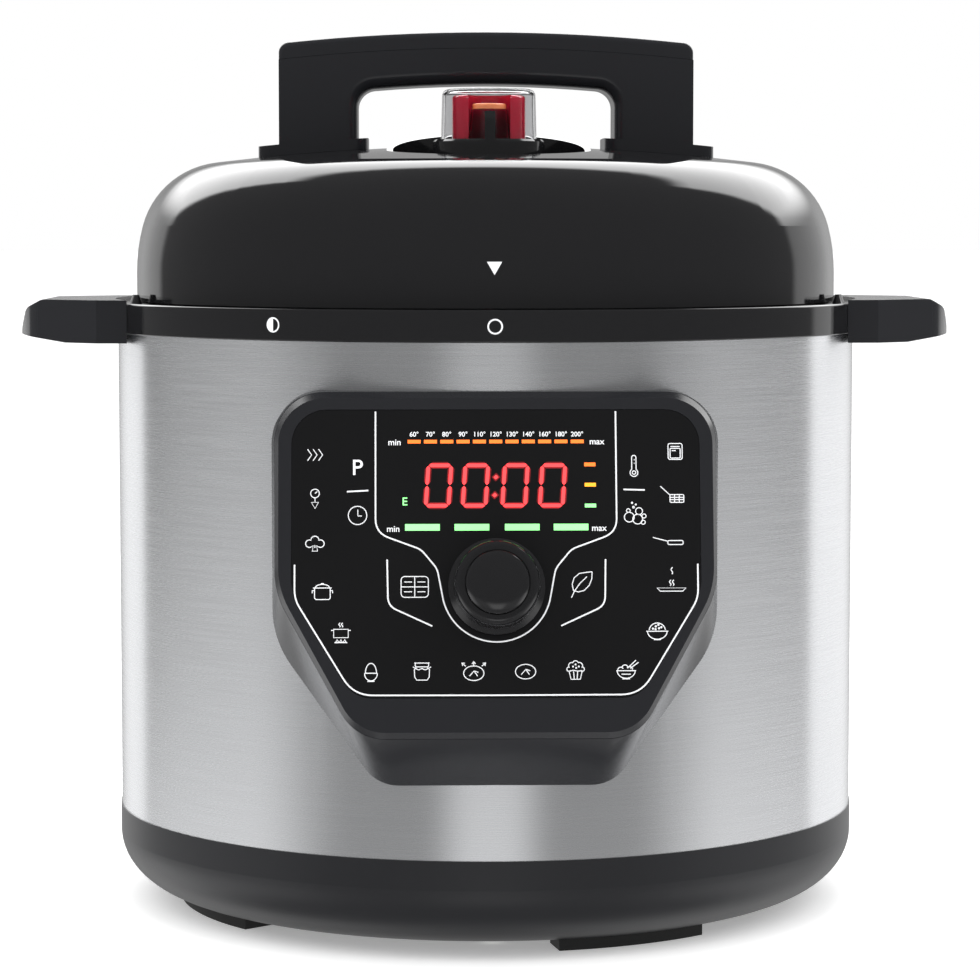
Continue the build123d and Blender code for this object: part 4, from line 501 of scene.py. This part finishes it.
def symbol_strokes():
    """Every symbol on the panel: where its middle is, and its strokes about that middle, in millimetres."""
    chevrons = [[(-2.5 + 1.9 * n, 2.0), (-1.1 + 1.9 * n, 0), (-2.5 + 1.9 * n, -2.0)] for n in range(3)]
    probe = [
        circle(0, 1.9, 1.5),
        [(0, 1.9), (0.8, 2.6)],
        [(0, 0.4), (0, -1.0)],
        [(0, -3.4), (-1.2, -1.2), (1.2, -1.2), (0, -3.4)],
    ]
    floret = [
        circle(-1.9, 0.1, 1.3, 60, 290),
        circle(0, 1.3, 1.4, 10, 170),
        circle(1.9, 0.1, 1.3, -110, 120),
        [(-1.6, -1.2), (-0.6, -0.6), (-0.9, -2.5), (0.9, -2.5), (0.6, -0.6), (1.6, -1.2)],
        [(0, -0.4), (0, -1.4)],
    ]
    pot = [
        [(-2.7, 1.1), (-2.7, -2.4), (-2.2, -2.9), (2.2, -2.9), (2.7, -2.4), (2.7, 1.1)],
        [(-3.2, 1.1), (3.2, 1.1)],
        circle(0, 1.1, 2.5, 0, 180, 0.5),
        [(-0.5, 2.6), (0.5, 2.6)],
        [(-2.7, 0.2), (-3.5, 0.2), (-3.5, -0.7)],
        [(2.7, 0.2), (3.5, 0.2), (3.5, -0.7)],
    ]
    flame_pot = [
        [(-2.5, 1.6), (-2.5, -1.3), (2.5, -1.3), (2.5, 1.6), (-2.5, 1.6)],
        [(-3.4, 1.2), (-2.5, 1.2)],
        [(2.5, 1.2), (3.4, 1.2)],
        [(-2.2, -3.0), (2.2, -3.0)],
        *[[(x - 0.45, -2.9), (x, -1.9), (x + 0.45, -2.9)] for x in (-1.3, 0, 1.3)],
        wave(-0.5, 2.3, 1.5),
        wave(0.4, 2.3, 1.5),
    ]
    egg = [
        circle(0, -0.2, 1.9, 0, 180, 1.75),
        [(-2.2, -0.3), (2.2, -0.3)],
        circle(0, -0.4, 2.2, 180, 360, 1.15),
        [(-1.2, -3.1), (1.2, -3.1)],
    ]
    jar = [
        [(-2.6, 2.9), (2.6, 2.9)],
        box_line(0, 2.2, 4.6, 1.3, 0.4),
        [
            *[(-1.9, 1.5), (-2.6, 0.6), (-2.5, -1.9), (-1.8, -3.0)],
            *[(1.8, -3.0), (2.5, -1.9), (2.6, 0.6), (1.9, 1.5)],
        ],
        [(-2.2, 1.0), (-1.1, 0.5), (0, 1.0), (1.1, 0.5), (2.2, 1.0)],
        [(-3.1, 1.5), (-2.5, 1.2)],
        [(3.1, 1.5), (2.5, 1.2)],
    ]
    loaf = [
        circle(0, -0.7, 3.5, 0, 360, 0.72),
        [(-1.5, -1.7), (0.1, 0.1), (1.6, -0.4)],
        [(0.1, 0.1), (1.3, -1.7)],
    ]
    arrows = []
    for angle, start, tip in ((90, 2.2, 4.0), (140, 3.6, 5.4), (40, 3.6, 5.4)):
        way = Vector((math.cos(math.radians(angle)), math.sin(math.radians(angle))))
        side = Vector((-way.y, way.x))
        foot = Vector((0, -0.6))
        head = foot + way * tip
        arrows.append([tuple(foot + way * start), tuple(head)])
        barb = head - way * 0.9
        arrows.append([tuple(barb + side * 0.6), tuple(head), tuple(barb - side * 0.6)])
    muffin = [
        [(-2.3, -0.2), (-1.6, -3.2), (1.6, -3.2), (2.3, -0.2)],
        [(-0.7, -0.4), (-0.5, -3.1)],
        [(0.7, -0.4), (0.5, -3.1)],
        circle(-2.2, 0.3, 0.8, 90, 290),
        circle(2.2, 0.3, 0.8, -110, 90),
        circle(-1.3, 1.5, 1.1, 70, 220),
        circle(1.3, 1.5, 1.1, -40, 110),
        circle(0, 2.2, 1.0, 10, 170),
        [(-2.3, -0.4), (-0.8, -0.1), (0.8, -0.4), (2.3, -0.2)],
        *[circle(x, y, 0.16) for x, y in ((-0.9, 1.2), (0.2, 0.7), (1.1, 1.2), (0, 1.9))],
    ]
    noodles = [
        [(-3.4, 0), (3.4, 0)],
        circle(0, 0, 3.1, 180, 360, 0.85),
        [(-1.3, -2.8), (1.3, -2.8)],
        circle(-1.9, 0.2, 1.0, 30, 180),
        circle(-0.4, 0.9, 1.1, 20, 170),
        circle(1.2, 0.4, 1.0, 0, 150),
        [(0.6, 1.0), (3.4, 3.6)],
        [(1.4, 0.8), (4.3, 2.9)],
        [(-1.6, -1.2), (1.6, -1.2)],
    ]
    oven = [
        box_line(0, 0, 4.9, 5.6, 0.7),
        box_line(0, -0.6, 3.5, 3.4, 0.3),
        [(-1.6, 1.75), (1.6, 1.75)],
        [(-1.2, 0.3), (0.2, 0.3)],
    ]
    basket = [
        [(-4.6, 3.4), (-1.4, 0.4)],
        box_line(1.1, -0.9, 4.8, 2.7, 0.4),
        [(-1.2, -0.5), (3.4, -0.5)],
        [(-1.2, -1.3), (3.4, -1.3)],
        [(0.3, 0.4), (0.3, -2.2)],
        [(1.9, 0.4), (1.9, -2.2)],
    ]
    pan = [[(-5.4, 1.2), (-0.4, -0.1)], box_line(2.4, -0.6, 5.3, 1.4, 0.5), [(-0.4, -0.1), (-0.2, -0.5)]]
    plate = [
        [(-5.0, 0.2), (5.0, 0.2), (3.9, -0.9), (-3.9, -0.9), (-5.0, 0.2)],
        wave(-0.4, 1.0, 2.0),
        wave(0.6, 1.0, 2.0),
        wave(0.2, 5.0, 2.4),
    ]
    grains = ((-1.5, 0.7), (-0.5, 1.5), (0.6, 0.8), (1.4, 1.2), (-0.6, 0.5), (0.4, 2.0))
    rice = [
        [(-3.8, -0.2), (3.8, -0.2)],
        circle(0, -0.2, 3.4, 180, 360, 0.82),
        [(-1.2, -3.1), (1.2, -3.1)],
        circle(0, 0, 2.8, 5, 175, 0.95),
        *[circle(x, y, 0.22) for x, y in grains],
    ]
    thermometer = [
        [(-0.75, -1.2), (-0.75, 3.0), *circle(0, 3.0, 0.75, 180, 0), (0.75, -1.2)],
        circle(0, -2.3, 1.35, 55, -235),
        circle(0, -2.3, 0.6),
        [(0, 2.2), (0.3, 2.2)],
        [(0, 1.0), (0.3, 1.0)],
    ]
    bubbles = [
        circle(-1.9, -0.6, 1.7),
        circle(1.0, -1.3, 1.7),
        circle(1.5, 1.5, 1.2),
        circle(-2.2, 1.7, 0.65),
        circle(3.2, -0.2, 0.7),
        circle(2.9, -2.4, 0.7),
        circle(-0.4, 2.9, 0.3),
        circle(0.4, 3.8, 0.18),
        circle(-0.9, 4.4, 0.22),
    ]
    clock = [circle(0, 0, 3.2), [(0.1, 2.0), (0.1, -0.2), (1.5, -0.2)]]
    tray = [
        box_line(0, 0, 9.4, 7.2, 1.3),
        [(0, 3.6), (0, -3.6)],
        [(-4.7, 0), (4.7, 0)],
        *[[(x - 1.35, y), (x + 1.35, y)] for x in (-2.3, 2.3) for y in (1.7, -1.7)],
    ]
    leaf = [
        [(-2.9, -2.2), (-3.3, 0), (-2.6, 2.2), (-0.8, 3.7), (1.6, 4.1), (3.6, 4.3)],
        [(3.6, 4.3), (3.5, 1.9), (2.6, -0.4), (0.8, -2.2), (-1.2, -2.7), (-2.9, -2.2)],
        [(1.8, 2.6), (-0.6, 0.3), (-2.5, -2.3), (-3.6, -4.7)],
    ]
    return (
        ((-62.7, 46.3), chevrons),
        ((-62.6, 30.9), probe),
        ((-62.6, 15.2), floret),
        ((-60.0, -1.2), pot),
        ((-53.6, -16.0), flame_pot),
        ((-43.3, -29.3), egg),
        ((-25.8, -29.0), jar),
        ((-8.0, -29.0), loaf + arrows),
        ((9.8, -28.5), loaf),
        ((27.0, -28.7), muffin),
        ((44.4, -29.0), noodles),
        ((62.3, 47.3), oven),
        ((61.6, 31.7), basket),
        ((59.6, 16.0), pan),
        ((60.4, -0.6), plate),
        ((55.3, -15.2), rice),
        ((47.9, 42.2), thermometer),
        ((48.0, 24.9), bubbles),
        ((-47.9, 25.1), clock),
        ((-28.2, 0.2), tray),
        ((29.4, 1.0), leaf),
    )


# the row of temperature marks, in millimetres on the panel's face
TEMPERATURES = (60, 70, 80, 90, 110, 120, 130, 140, 160, 180, 200)
SCALE_START = -28.3
SCALE_PITCH = 5.66
LAMP_X = 32.7
LAMP_WIDTH = 3.9
LAMP_HEIGHT = 1.3
LETTER_WEIGHT = 0.04 * MM  # how far the letters' outlines are grown


def ribbon(strokes, width, height):
    """One flat mesh of printed strokes. The points are in millimetres on the panel's face."""
    deselect()
    bpy.ops.curve.primitive_bezier_circle_add()
    line = bpy.context.object
    line.data.splines.clear()
    line.data.dimensions = "3D"
    line.data.bevel_depth = width / 2
    line.data.bevel_resolution = 1
    line.data.use_fill_caps = True
    for points in strokes:
        spline = line.data.splines.new("POLY")
        closed = (Vector(points[0]) - Vector(points[-1])).length < 0.001
        if closed:
            points = points[:-1]
        spline.points.add(len(points) - 1)
        for point, (x, y) in zip(spline.points, points):
            point.co = (x * MM, y * MM, 0, 1)
        spline.use_cyclic_u = closed
    activate(line)
    bpy.ops.object.convert(target="MESH")
    line = bpy.context.object
    line.scale = (1, 1, height / width)
    bpy.ops.object.transform_apply(location=False, rotation=False, scale=True)
    return line


def lettering(words, x, y, size, height):
    """Raised lettering on the face. Its middle is at x and y in millimetres."""
    deselect()
    bpy.ops.object.text_add()
    text = bpy.context.object
    text.data.body = words
    text.data.size = size
    text.data.extrude = height / 2
    text.data.align_x = "CENTER"
    text.data.align_y = "CENTER"
    text.data.offset = LETTER_WEIGHT
    activate(text)
    bpy.ops.object.convert(target="MESH")
    text = bpy.context.object
    text.location = (x * MM, y * MM, 0)
    bpy.ops.object.transform_apply(location=True, rotation=False, scale=False)
    return text


def plate(x, y, width, height, thickness):
    """A thin printed bar about a middle in millimetres, its corners softened."""
    deselect()
    bpy.ops.mesh.primitive_cube_add(size=1)
    bar = bpy.context.object
    bar.scale = (width * MM, height * MM, thickness)
    bpy.ops.object.transform_apply(location=False, rotation=False, scale=True)
    soften = bar.modifiers.new("corners", "BEVEL")
    soften.width = min(width, height) * MM * 0.12
    soften.segments = 2
    bpy.ops.object.modifier_apply(modifier=soften.name)
    bar.location = (x * MM, y * MM, 0)
    bpy.ops.object.transform_apply(location=True, rotation=False, scale=False)
    return bar


def smooth_path(points, radius):
    """The points of a path whose corners are rounded to radius, all in millimetres."""
    path = [points[0]]
    for before, corner, after in zip(points, points[1:], points[2:]):
        corner_point = Vector(corner)
        back = (Vector(before) - corner_point).normalized()
        onward = (Vector(after) - corner_point).normalized()
        half = back.angle(onward) / 2
        reach = min(radius / math.tan(half), (Vector(before) - corner_point).length * 0.49)
        reach = min(reach, (Vector(after) - corner_point).length * 0.49)
        start, end = corner_point + back * reach, corner_point + onward * reach
        for step in range(9):
            t = step / 8
            point = start * (1 - t) ** 2 + corner_point * 2 * t * (1 - t) + end * t**2
            path.append(tuple(point))
    path.append(points[-1])
    return path


def mirrored(points):
    """The same path on the other side of the panel's middle."""
    return [(-x, y) for x, y in points]


class COOKER_OT_panel_lines(bpy.types.Operator):
    """Print the white lines and symbols on the control panel"""

    bl_idname = "cooker.panel_lines"
    bl_label = "Panel lines and symbols"

    def execute(self, context):
        sizes = context.scene.cooker_sizes
        place = panel_place()
        border = smooth_path([(-69.6, 8.0), (-69.6, -4.0), (-49.3, -37.2), (0, -37.3)], 12.0)
        border = border[:-1] + mirrored(border)[::-1]
        side = smooth_path([(-41.7, 61.5), (-41.7, 19.0), (-26.0, 13.2), (-20.4, 6.4), (-18.4, -4.6)], 7.0)
        under = [(-p, q) for p, q in circle(0, 0.0, 18.9, -14, -90, step=5)]
        window = side[:-1] + under
        bracket = smooth_path([(-37.7, 9.7), (-37.4, -6.4), (-22.2, -13.4)], 5.0)
        strokes = [border, window, mirrored(window), bracket, mirrored(bracket)]
        strokes += [[(-51.6, 33.4), (-44.2, 33.8)], [(44.2, 34.0), (51.6, 33.8)]]
        lines = ribbon(strokes, sizes.line_width, sizes.print_height)
        settle(lines, "panel_lines", FINISHES["ink"], "cooker", place)
        strokes = [
            [(x + middle_x, y + middle_y) for x, y in points]
            for (middle_x, middle_y), drawn in symbol_strokes()
            for points in drawn
        ]
        symbols = ribbon(strokes, sizes.symbol_width, sizes.print_height)
        settle(symbols, "panel_symbols", FINISHES["ink"], "cooker", place)
        small, capital = sizes.label_height, sizes.label_height * 4.4
        words = [lettering("P", -48.0, 41.6, capital, sizes.print_height)]
        for x, y in ((-35.1, 50.6), (-35.6, 20.3)):
            words.append(lettering("min", x, y, small * 1.75, sizes.print_height))
            words.append(lettering("max", -x, y + 0.2, small * 1.75, sizes.print_height))
        for number, degrees in enumerate(TEMPERATURES):
            x = SCALE_START + SCALE_PITCH * number
            words.append(lettering(str(degrees) + "°", x, 53.4, small * 1.32, sizes.print_height))
        settle(joined(words), "panel_labels", FINISHES["ink"], "cooker", place)
        return {"FINISHED"}


def segments(height, gap):
    """The six lit segments of a nought, as (middle, length, upright) in millimetres."""
    width = height * 0.56
    reach = height / 2
    return [
        ((0, reach), width - gap, False),
        ((0, -reach), width - gap, False),
        ((-width / 2, reach / 2), reach - gap, True),
        ((-width / 2, -reach / 2), reach - gap, True),
        ((width / 2, reach / 2), reach - gap, True),
        ((width / 2, -reach / 2), reach - gap, True),
    ]


def segment_bar(x, y, length, upright, width, thickness):
    """One lit segment: a bar with pointed ends, as a six-sided plate."""
    deselect()
    bpy.ops.mesh.primitive_circle_add(vertices=6, radius=1, fill_type="NGON")
    bar = bpy.context.object
    half, thick = length / 2, width / 2
    outline = [(half, 0), (half - thick, thick), (-half + thick, thick), (-half, 0), (-half + thick, -thick)]
    outline.append((half - thick, -thick))
    for vertex, (a, b) in zip(bar.data.vertices, outline):
        vertex.co = ((x + (b if upright else a)) * MM, (y + (a if upright else b)) * MM, 0)
    bpy.ops.object.mode_set(mode="EDIT")
    bpy.ops.mesh.select_all(action="SELECT")
    bpy.ops.mesh.extrude_region_move(TRANSFORM_OT_translate={"value": (0, 0, thickness)})
    bpy.ops.mesh.select_all(action="SELECT")
    bpy.ops.mesh.normals_make_consistent(inside=False)
    bpy.ops.object.mode_set(mode="OBJECT")
    return bar


class COOKER_OT_display(bpy.types.Operator):
    """Light the display: digits, level bars, temperature marks and lamps"""

    bl_idname = "cooker.display"
    bl_label = "Display"

    def execute(self, context):
        sizes = context.scene.cooker_sizes
        place = panel_place()
        height = sizes.digit_height / MM - 1.5
        lean = Matrix(((1, 0.07, 0, 0), (0, 1, 0, 0), (0, 0, 1, 0), (0, 0, 0, 1)))
        for finish, name, width, thick in (
            ("glow_red", "digit_glow", 2.3, 0.02 * MM),
            ("lit_red", "digits", 1.25, 0.05 * MM),
        ):
            bars = []
            for x in (-19.9, -7.1, 6.6, 19.6):
                for (across, up), length, upright in segments(height, 0.3):
                    bars.append(segment_bar(x + across, up, length, upright, width, thick))
            for y in (2.9, -3.4):
                bars.append(segment_bar(-0.2, y, width * 1.35, False, width * 1.2, thick))
            digits = joined(bars)
            digits.data.transform(Matrix.Translation((0, 35.5 * MM, 0)) @ lean)
            settle(digits, name, FINISHES[finish], "cooker", place)
        thick = sizes.print_height
        levels = [plate(x, 20.9, 12.0, 2.3, thick) for x in (-25.5, -8.4, 9.0, 25.9)]
        levels.append(plate(LAMP_X, 28.4, LAMP_WIDTH, LAMP_HEIGHT, thick))
        levels.append(lettering("E", -31.6, 29.8, 3.9 * MM, thick))
        settle(joined(levels), "level_bars", FINISHES["lit_green"], "cooker", place)
        mark_places = [SCALE_START + SCALE_PITCH * number for number in range(len(TEMPERATURES))]
        marks = [plate(x, 50.9, 4.5, 1.25, thick) for x in mark_places]
        marks.append(plate(LAMP_X - 0.1, 42.8, LAMP_WIDTH, LAMP_HEIGHT, thick))
        settle(joined(marks), "temperature_marks", FINISHES["lit_orange"], "cooker", place)
        lamp = plate(LAMP_X, 35.7, LAMP_WIDTH, LAMP_HEIGHT, thick)
        settle(lamp, "amber_lamp", FINISHES["lit_amber"], "cooker", place)
        return {"FINISHED"}


# ---------------------------------------------------------------- marks on the collar and lid
class COOKER_OT_marks(bpy.types.Operator):
    """Print the lock marks on the collar and the pointer on the lid"""

    bl_idname = "cooker.marks"
    bl_label = "Lock marks"

    def execute(self, context):
        sizes = context.scene.cooker_sizes
        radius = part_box("collar_ring")[1][0] + 0.02 * MM
        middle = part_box("lid_cover")[0][2] - 6.1 * MM
        turn = math.radians(JOINTS["lid_turn"]["range_deg"][0])
        ring = circle(0, 0, 2.45)
        half = [circle(0, 0, t, 90, 270) for t in (0.3, 0.7, 1.1, 1.5, 1.9)]
        for name, strokes, angle in (("mark_closed", [ring], 0.0), ("mark_open", [ring] + half, turn)):
            mark = ribbon(strokes, 0.6 * MM, sizes.print_height)
            stand = Matrix.Rotation(math.radians(90), 4, "X")
            place = Matrix.Rotation(angle, 4, "Z") @ Matrix.Translation((0, -radius, middle)) @ stand
            settle(mark, name, FINISHES["ink"], "cooker", place)
        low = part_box("lid_cover")[0]
        deselect()
        bpy.ops.mesh.primitive_circle_add(vertices=3, radius=3.1 * MM, fill_type="NGON")
        pointer = bpy.context.object
        pointer.data.transform(Matrix.Rotation(math.radians(180), 4, "Z"))
        bpy.ops.object.mode_set(mode="EDIT")
        bpy.ops.mesh.select_all(action="SELECT")
        bpy.ops.mesh.extrude_region_move(TRANSFORM_OT_translate={"value": (0, 0, 0.1 * MM)})
        bpy.ops.mesh.select_all(action="SELECT")
        bpy.ops.mesh.normals_make_consistent(inside=False)
        bpy.ops.object.mode_set(mode="OBJECT")
        lean = Matrix.Rotation(math.radians(86.5), 4, "X")
        place = Matrix.Translation((0, low[1] + 0.09 * MM, low[2] + 14.8 * MM)) @ lean
        settle(pointer, "lid_pointer", FINISHES["ink"], "lid", place)
        return {"FINISHED"}


# ---------------------------------------------------------------- stage
def studio_world():
    """A white room with a dark side behind the camera, which gives the black plastic its bright rims."""
    world = bpy.data.worlds.new("studio")
    bpy.context.scene.world = world
    world.use_nodes = True
    tree = world.node_tree
    tree.nodes.clear()
    place = tree.nodes.new("ShaderNodeTexCoord")
    apart = tree.nodes.new("ShaderNodeSeparateXYZ")
    tree.links.new(place.outputs["Generated"], apart.inputs[0])
    x, y, z = apart.outputs

    def ramp(value, low, high):
        """0 under low, 1 over high, and smooth between."""
        made = tree.nodes.new("ShaderNodeMapRange")
        made.interpolation_type = "SMOOTHSTEP"
        made.inputs["From Min"].default_value = low
        made.inputs["From Max"].default_value = high
        tree.links.new(value, made.inputs["Value"])
        return made.outputs["Result"]

    def blend(first, second, mask):
        """first where the mask is 0, second where it is 1."""
        keep = math_node(tree, "SUBTRACT", 1.0, mask)
        left = math_node(tree, "MULTIPLY", keep, first)
        right = math_node(tree, "MULTIPLY", mask, second)
        return math_node(tree, "ADD", left, right)

    # bearing from the front, in degrees: 0 in front, positive to the right, 180 behind
    forward = math_node(tree, "MULTIPLY", y, -1.0)
    bearing = math_node(tree, "DEGREES", math_node(tree, "ARCTAN2", x, forward))
    height = math_node(tree, "DEGREES", math_node(tree, "ARCSINE", z))
    turned = math_node(tree, "ABSOLUTE", bearing)
    right_side = ramp(bearing, 116.0, 121.0)
    left_side = ramp(math_node(tree, "MULTIPLY", bearing, -1.0), 131.0, 136.0)
    under_ceiling = math_node(tree, "SUBTRACT", 1.0, ramp(height, 50.0, 56.0))
    backdrop = math_node(tree, "MULTIPLY", math_node(tree, "MAXIMUM", right_side, left_side), under_ceiling)
    # the sleeve mirrors the low band: bright in the middle and at the sides, and dim between them
    centre = math_node(tree, "SUBTRACT", 1.0, ramp(turned, 6.0, 20.0))
    flank = math_node(tree, "SUBTRACT", 1.0, ramp(turned, 44.0, 80.0))
    low_band = blend(1.5, blend(0.45, 1.4, centre), flank)
    low_down = math_node(tree, "SUBTRACT", 1.0, ramp(height, -20.0, -5.0))
    front = blend(0.2, low_band, low_down)
    front = blend(0.3, front, ramp(height, -52.0, -32.0))
    seen = tree.nodes.new("ShaderNodeLightPath")
    rim_low = blend(0.95, 0.42, ramp(turned, 148.0, 172.0))
    rim = blend(rim_low, 4.4, ramp(height, 11.0, 23.0))
    room = blend(front, rim, backdrop)
    # what isn't a reflection sees an even white room
    mirrored_room = blend(0.95, room, seen.outputs["Is Glossy Ray"])
    strength = blend(mirrored_room, 1.0, seen.outputs["Is Camera Ray"])
    light = tree.nodes.new("ShaderNodeBackground")
    light.inputs["Color"].default_value = (1, 1, 1, 1)
    tree.links.new(strength, light.inputs["Strength"])
    out = tree.nodes.new("ShaderNodeOutputWorld")
    tree.links.new(light.outputs["Background"], out.inputs["Surface"])


def soft_light(name, place, aim, size, power):
    """A square softbox that faces aim."""
    deselect()
    bpy.ops.object.light_add(type="AREA", location=place)
    lamp = bpy.context.object
    lamp.name = name
    lamp.data.shape = "RECTANGLE"
    lamp.data.size, lamp.data.size_y = size
    lamp.data.energy = power
    lamp.rotation_euler = (Vector(aim) - Vector(place)).to_track_quat("-Z", "Y").to_euler()
    lamp.visible_camera = False
    lamp.visible_glossy = False
    return lamp


class COOKER_OT_stage(bpy.types.Operator):
    """Lay the floor and set up the lights and the camera"""

    bl_idname = "cooker.stage"
    bl_label = "Stage"

    def execute(self, context):
        sizes = context.scene.cooker_sizes
        scene = context.scene
        scene.view_settings.view_transform = "Standard"
        deselect()
        bpy.ops.mesh.primitive_plane_add(size=60.0)
        floor = bpy.context.object
        floor.name = "floor"
        finish, shader = new_finish(
            "pale_floor", Base_Color=(0.93, 0.93, 0.93), Roughness=0.9, Emission_Strength=0.3
        )
        shader.inputs["Emission Color"].default_value = (1, 1, 1, 1)
        shader.inputs["Specular IOR Level"].default_value = 0.1
        floor.data.materials.append(finish)
        floor.visible_glossy = False
        studio_world()
        soft_light("left_softbox", (-1.1, -0.5, 1.2), (0, 0, 0.15), (0.7, 1.2), 9.0)
        soft_light("right_softbox", (1.1, -0.5, 1.2), (0, 0, 0.15), (0.7, 1.2), 9.0)
        soft_light("top_softbox", (0, 0.1, 1.7), (0, 0, 0), (1.4, 1.4), 12.0)
        azimuth = math.radians(1.35)
        distance = sizes.camera_distance
        bpy.ops.object.camera_add()
        camera = bpy.context.object
        camera.name = "camera"
        camera.location = (-distance * math.sin(azimuth), -distance * math.cos(azimuth), sizes.camera_height)
        camera.rotation_euler = (math.radians(90 - 4.5456), 0, -azimuth - math.radians(0.077))
        camera.data.lens = 123.13
        camera.data.sensor_width = 36.0
        camera.data.clip_start = 0.05
        scene.camera = camera
        return {"FINISHED"}


# ---------------------------------------------------------------- panel in the sidebar
OPERATORS = (
    COOKER_OT_stage,
    COOKER_OT_finishes,
    COOKER_OT_panel_lines,
    COOKER_OT_display,
    COOKER_OT_marks,
)


class COOKER_PT_panel(bpy.types.Panel):
    bl_idname = "COOKER_PT_panel"
    bl_label = "Pressure cooker"
    bl_space_type = "VIEW_3D"
    bl_region_type = "UI"
    bl_category = "Cooker"

    def draw(self, context):
        for operator in OPERATORS:
            self.layout.operator(operator.bl_idname)
        for group in (context.scene.cooker_sizes, context.scene.cooker_colours):
            for name in group.bl_rna.properties.keys():
                if name not in ("rna_type", "name"):
                    self.layout.prop(group, name)


CLASSES = (CookerSizes, CookerColours, *OPERATORS, COOKER_PT_panel)


def register():
    for cls in CLASSES:
        bpy.utils.register_class(cls)
    bpy.types.Scene.cooker_sizes = bpy.props.PointerProperty(type=CookerSizes)
    bpy.types.Scene.cooker_colours = bpy.props.PointerProperty(type=CookerColours)


def unregister():
    del bpy.types.Scene.cooker_colours
    del bpy.types.Scene.cooker_sizes
    for cls in reversed(CLASSES):
        bpy.utils.unregister_class(cls)


def main():
    register()
    bpy.ops.cooker.stage()
    bpy.ops.cooker.finishes()
    bpy.ops.cooker.panel_lines()
    bpy.ops.cooker.display()
    bpy.ops.cooker.marks()


if __name__ == "__main__":
    main()
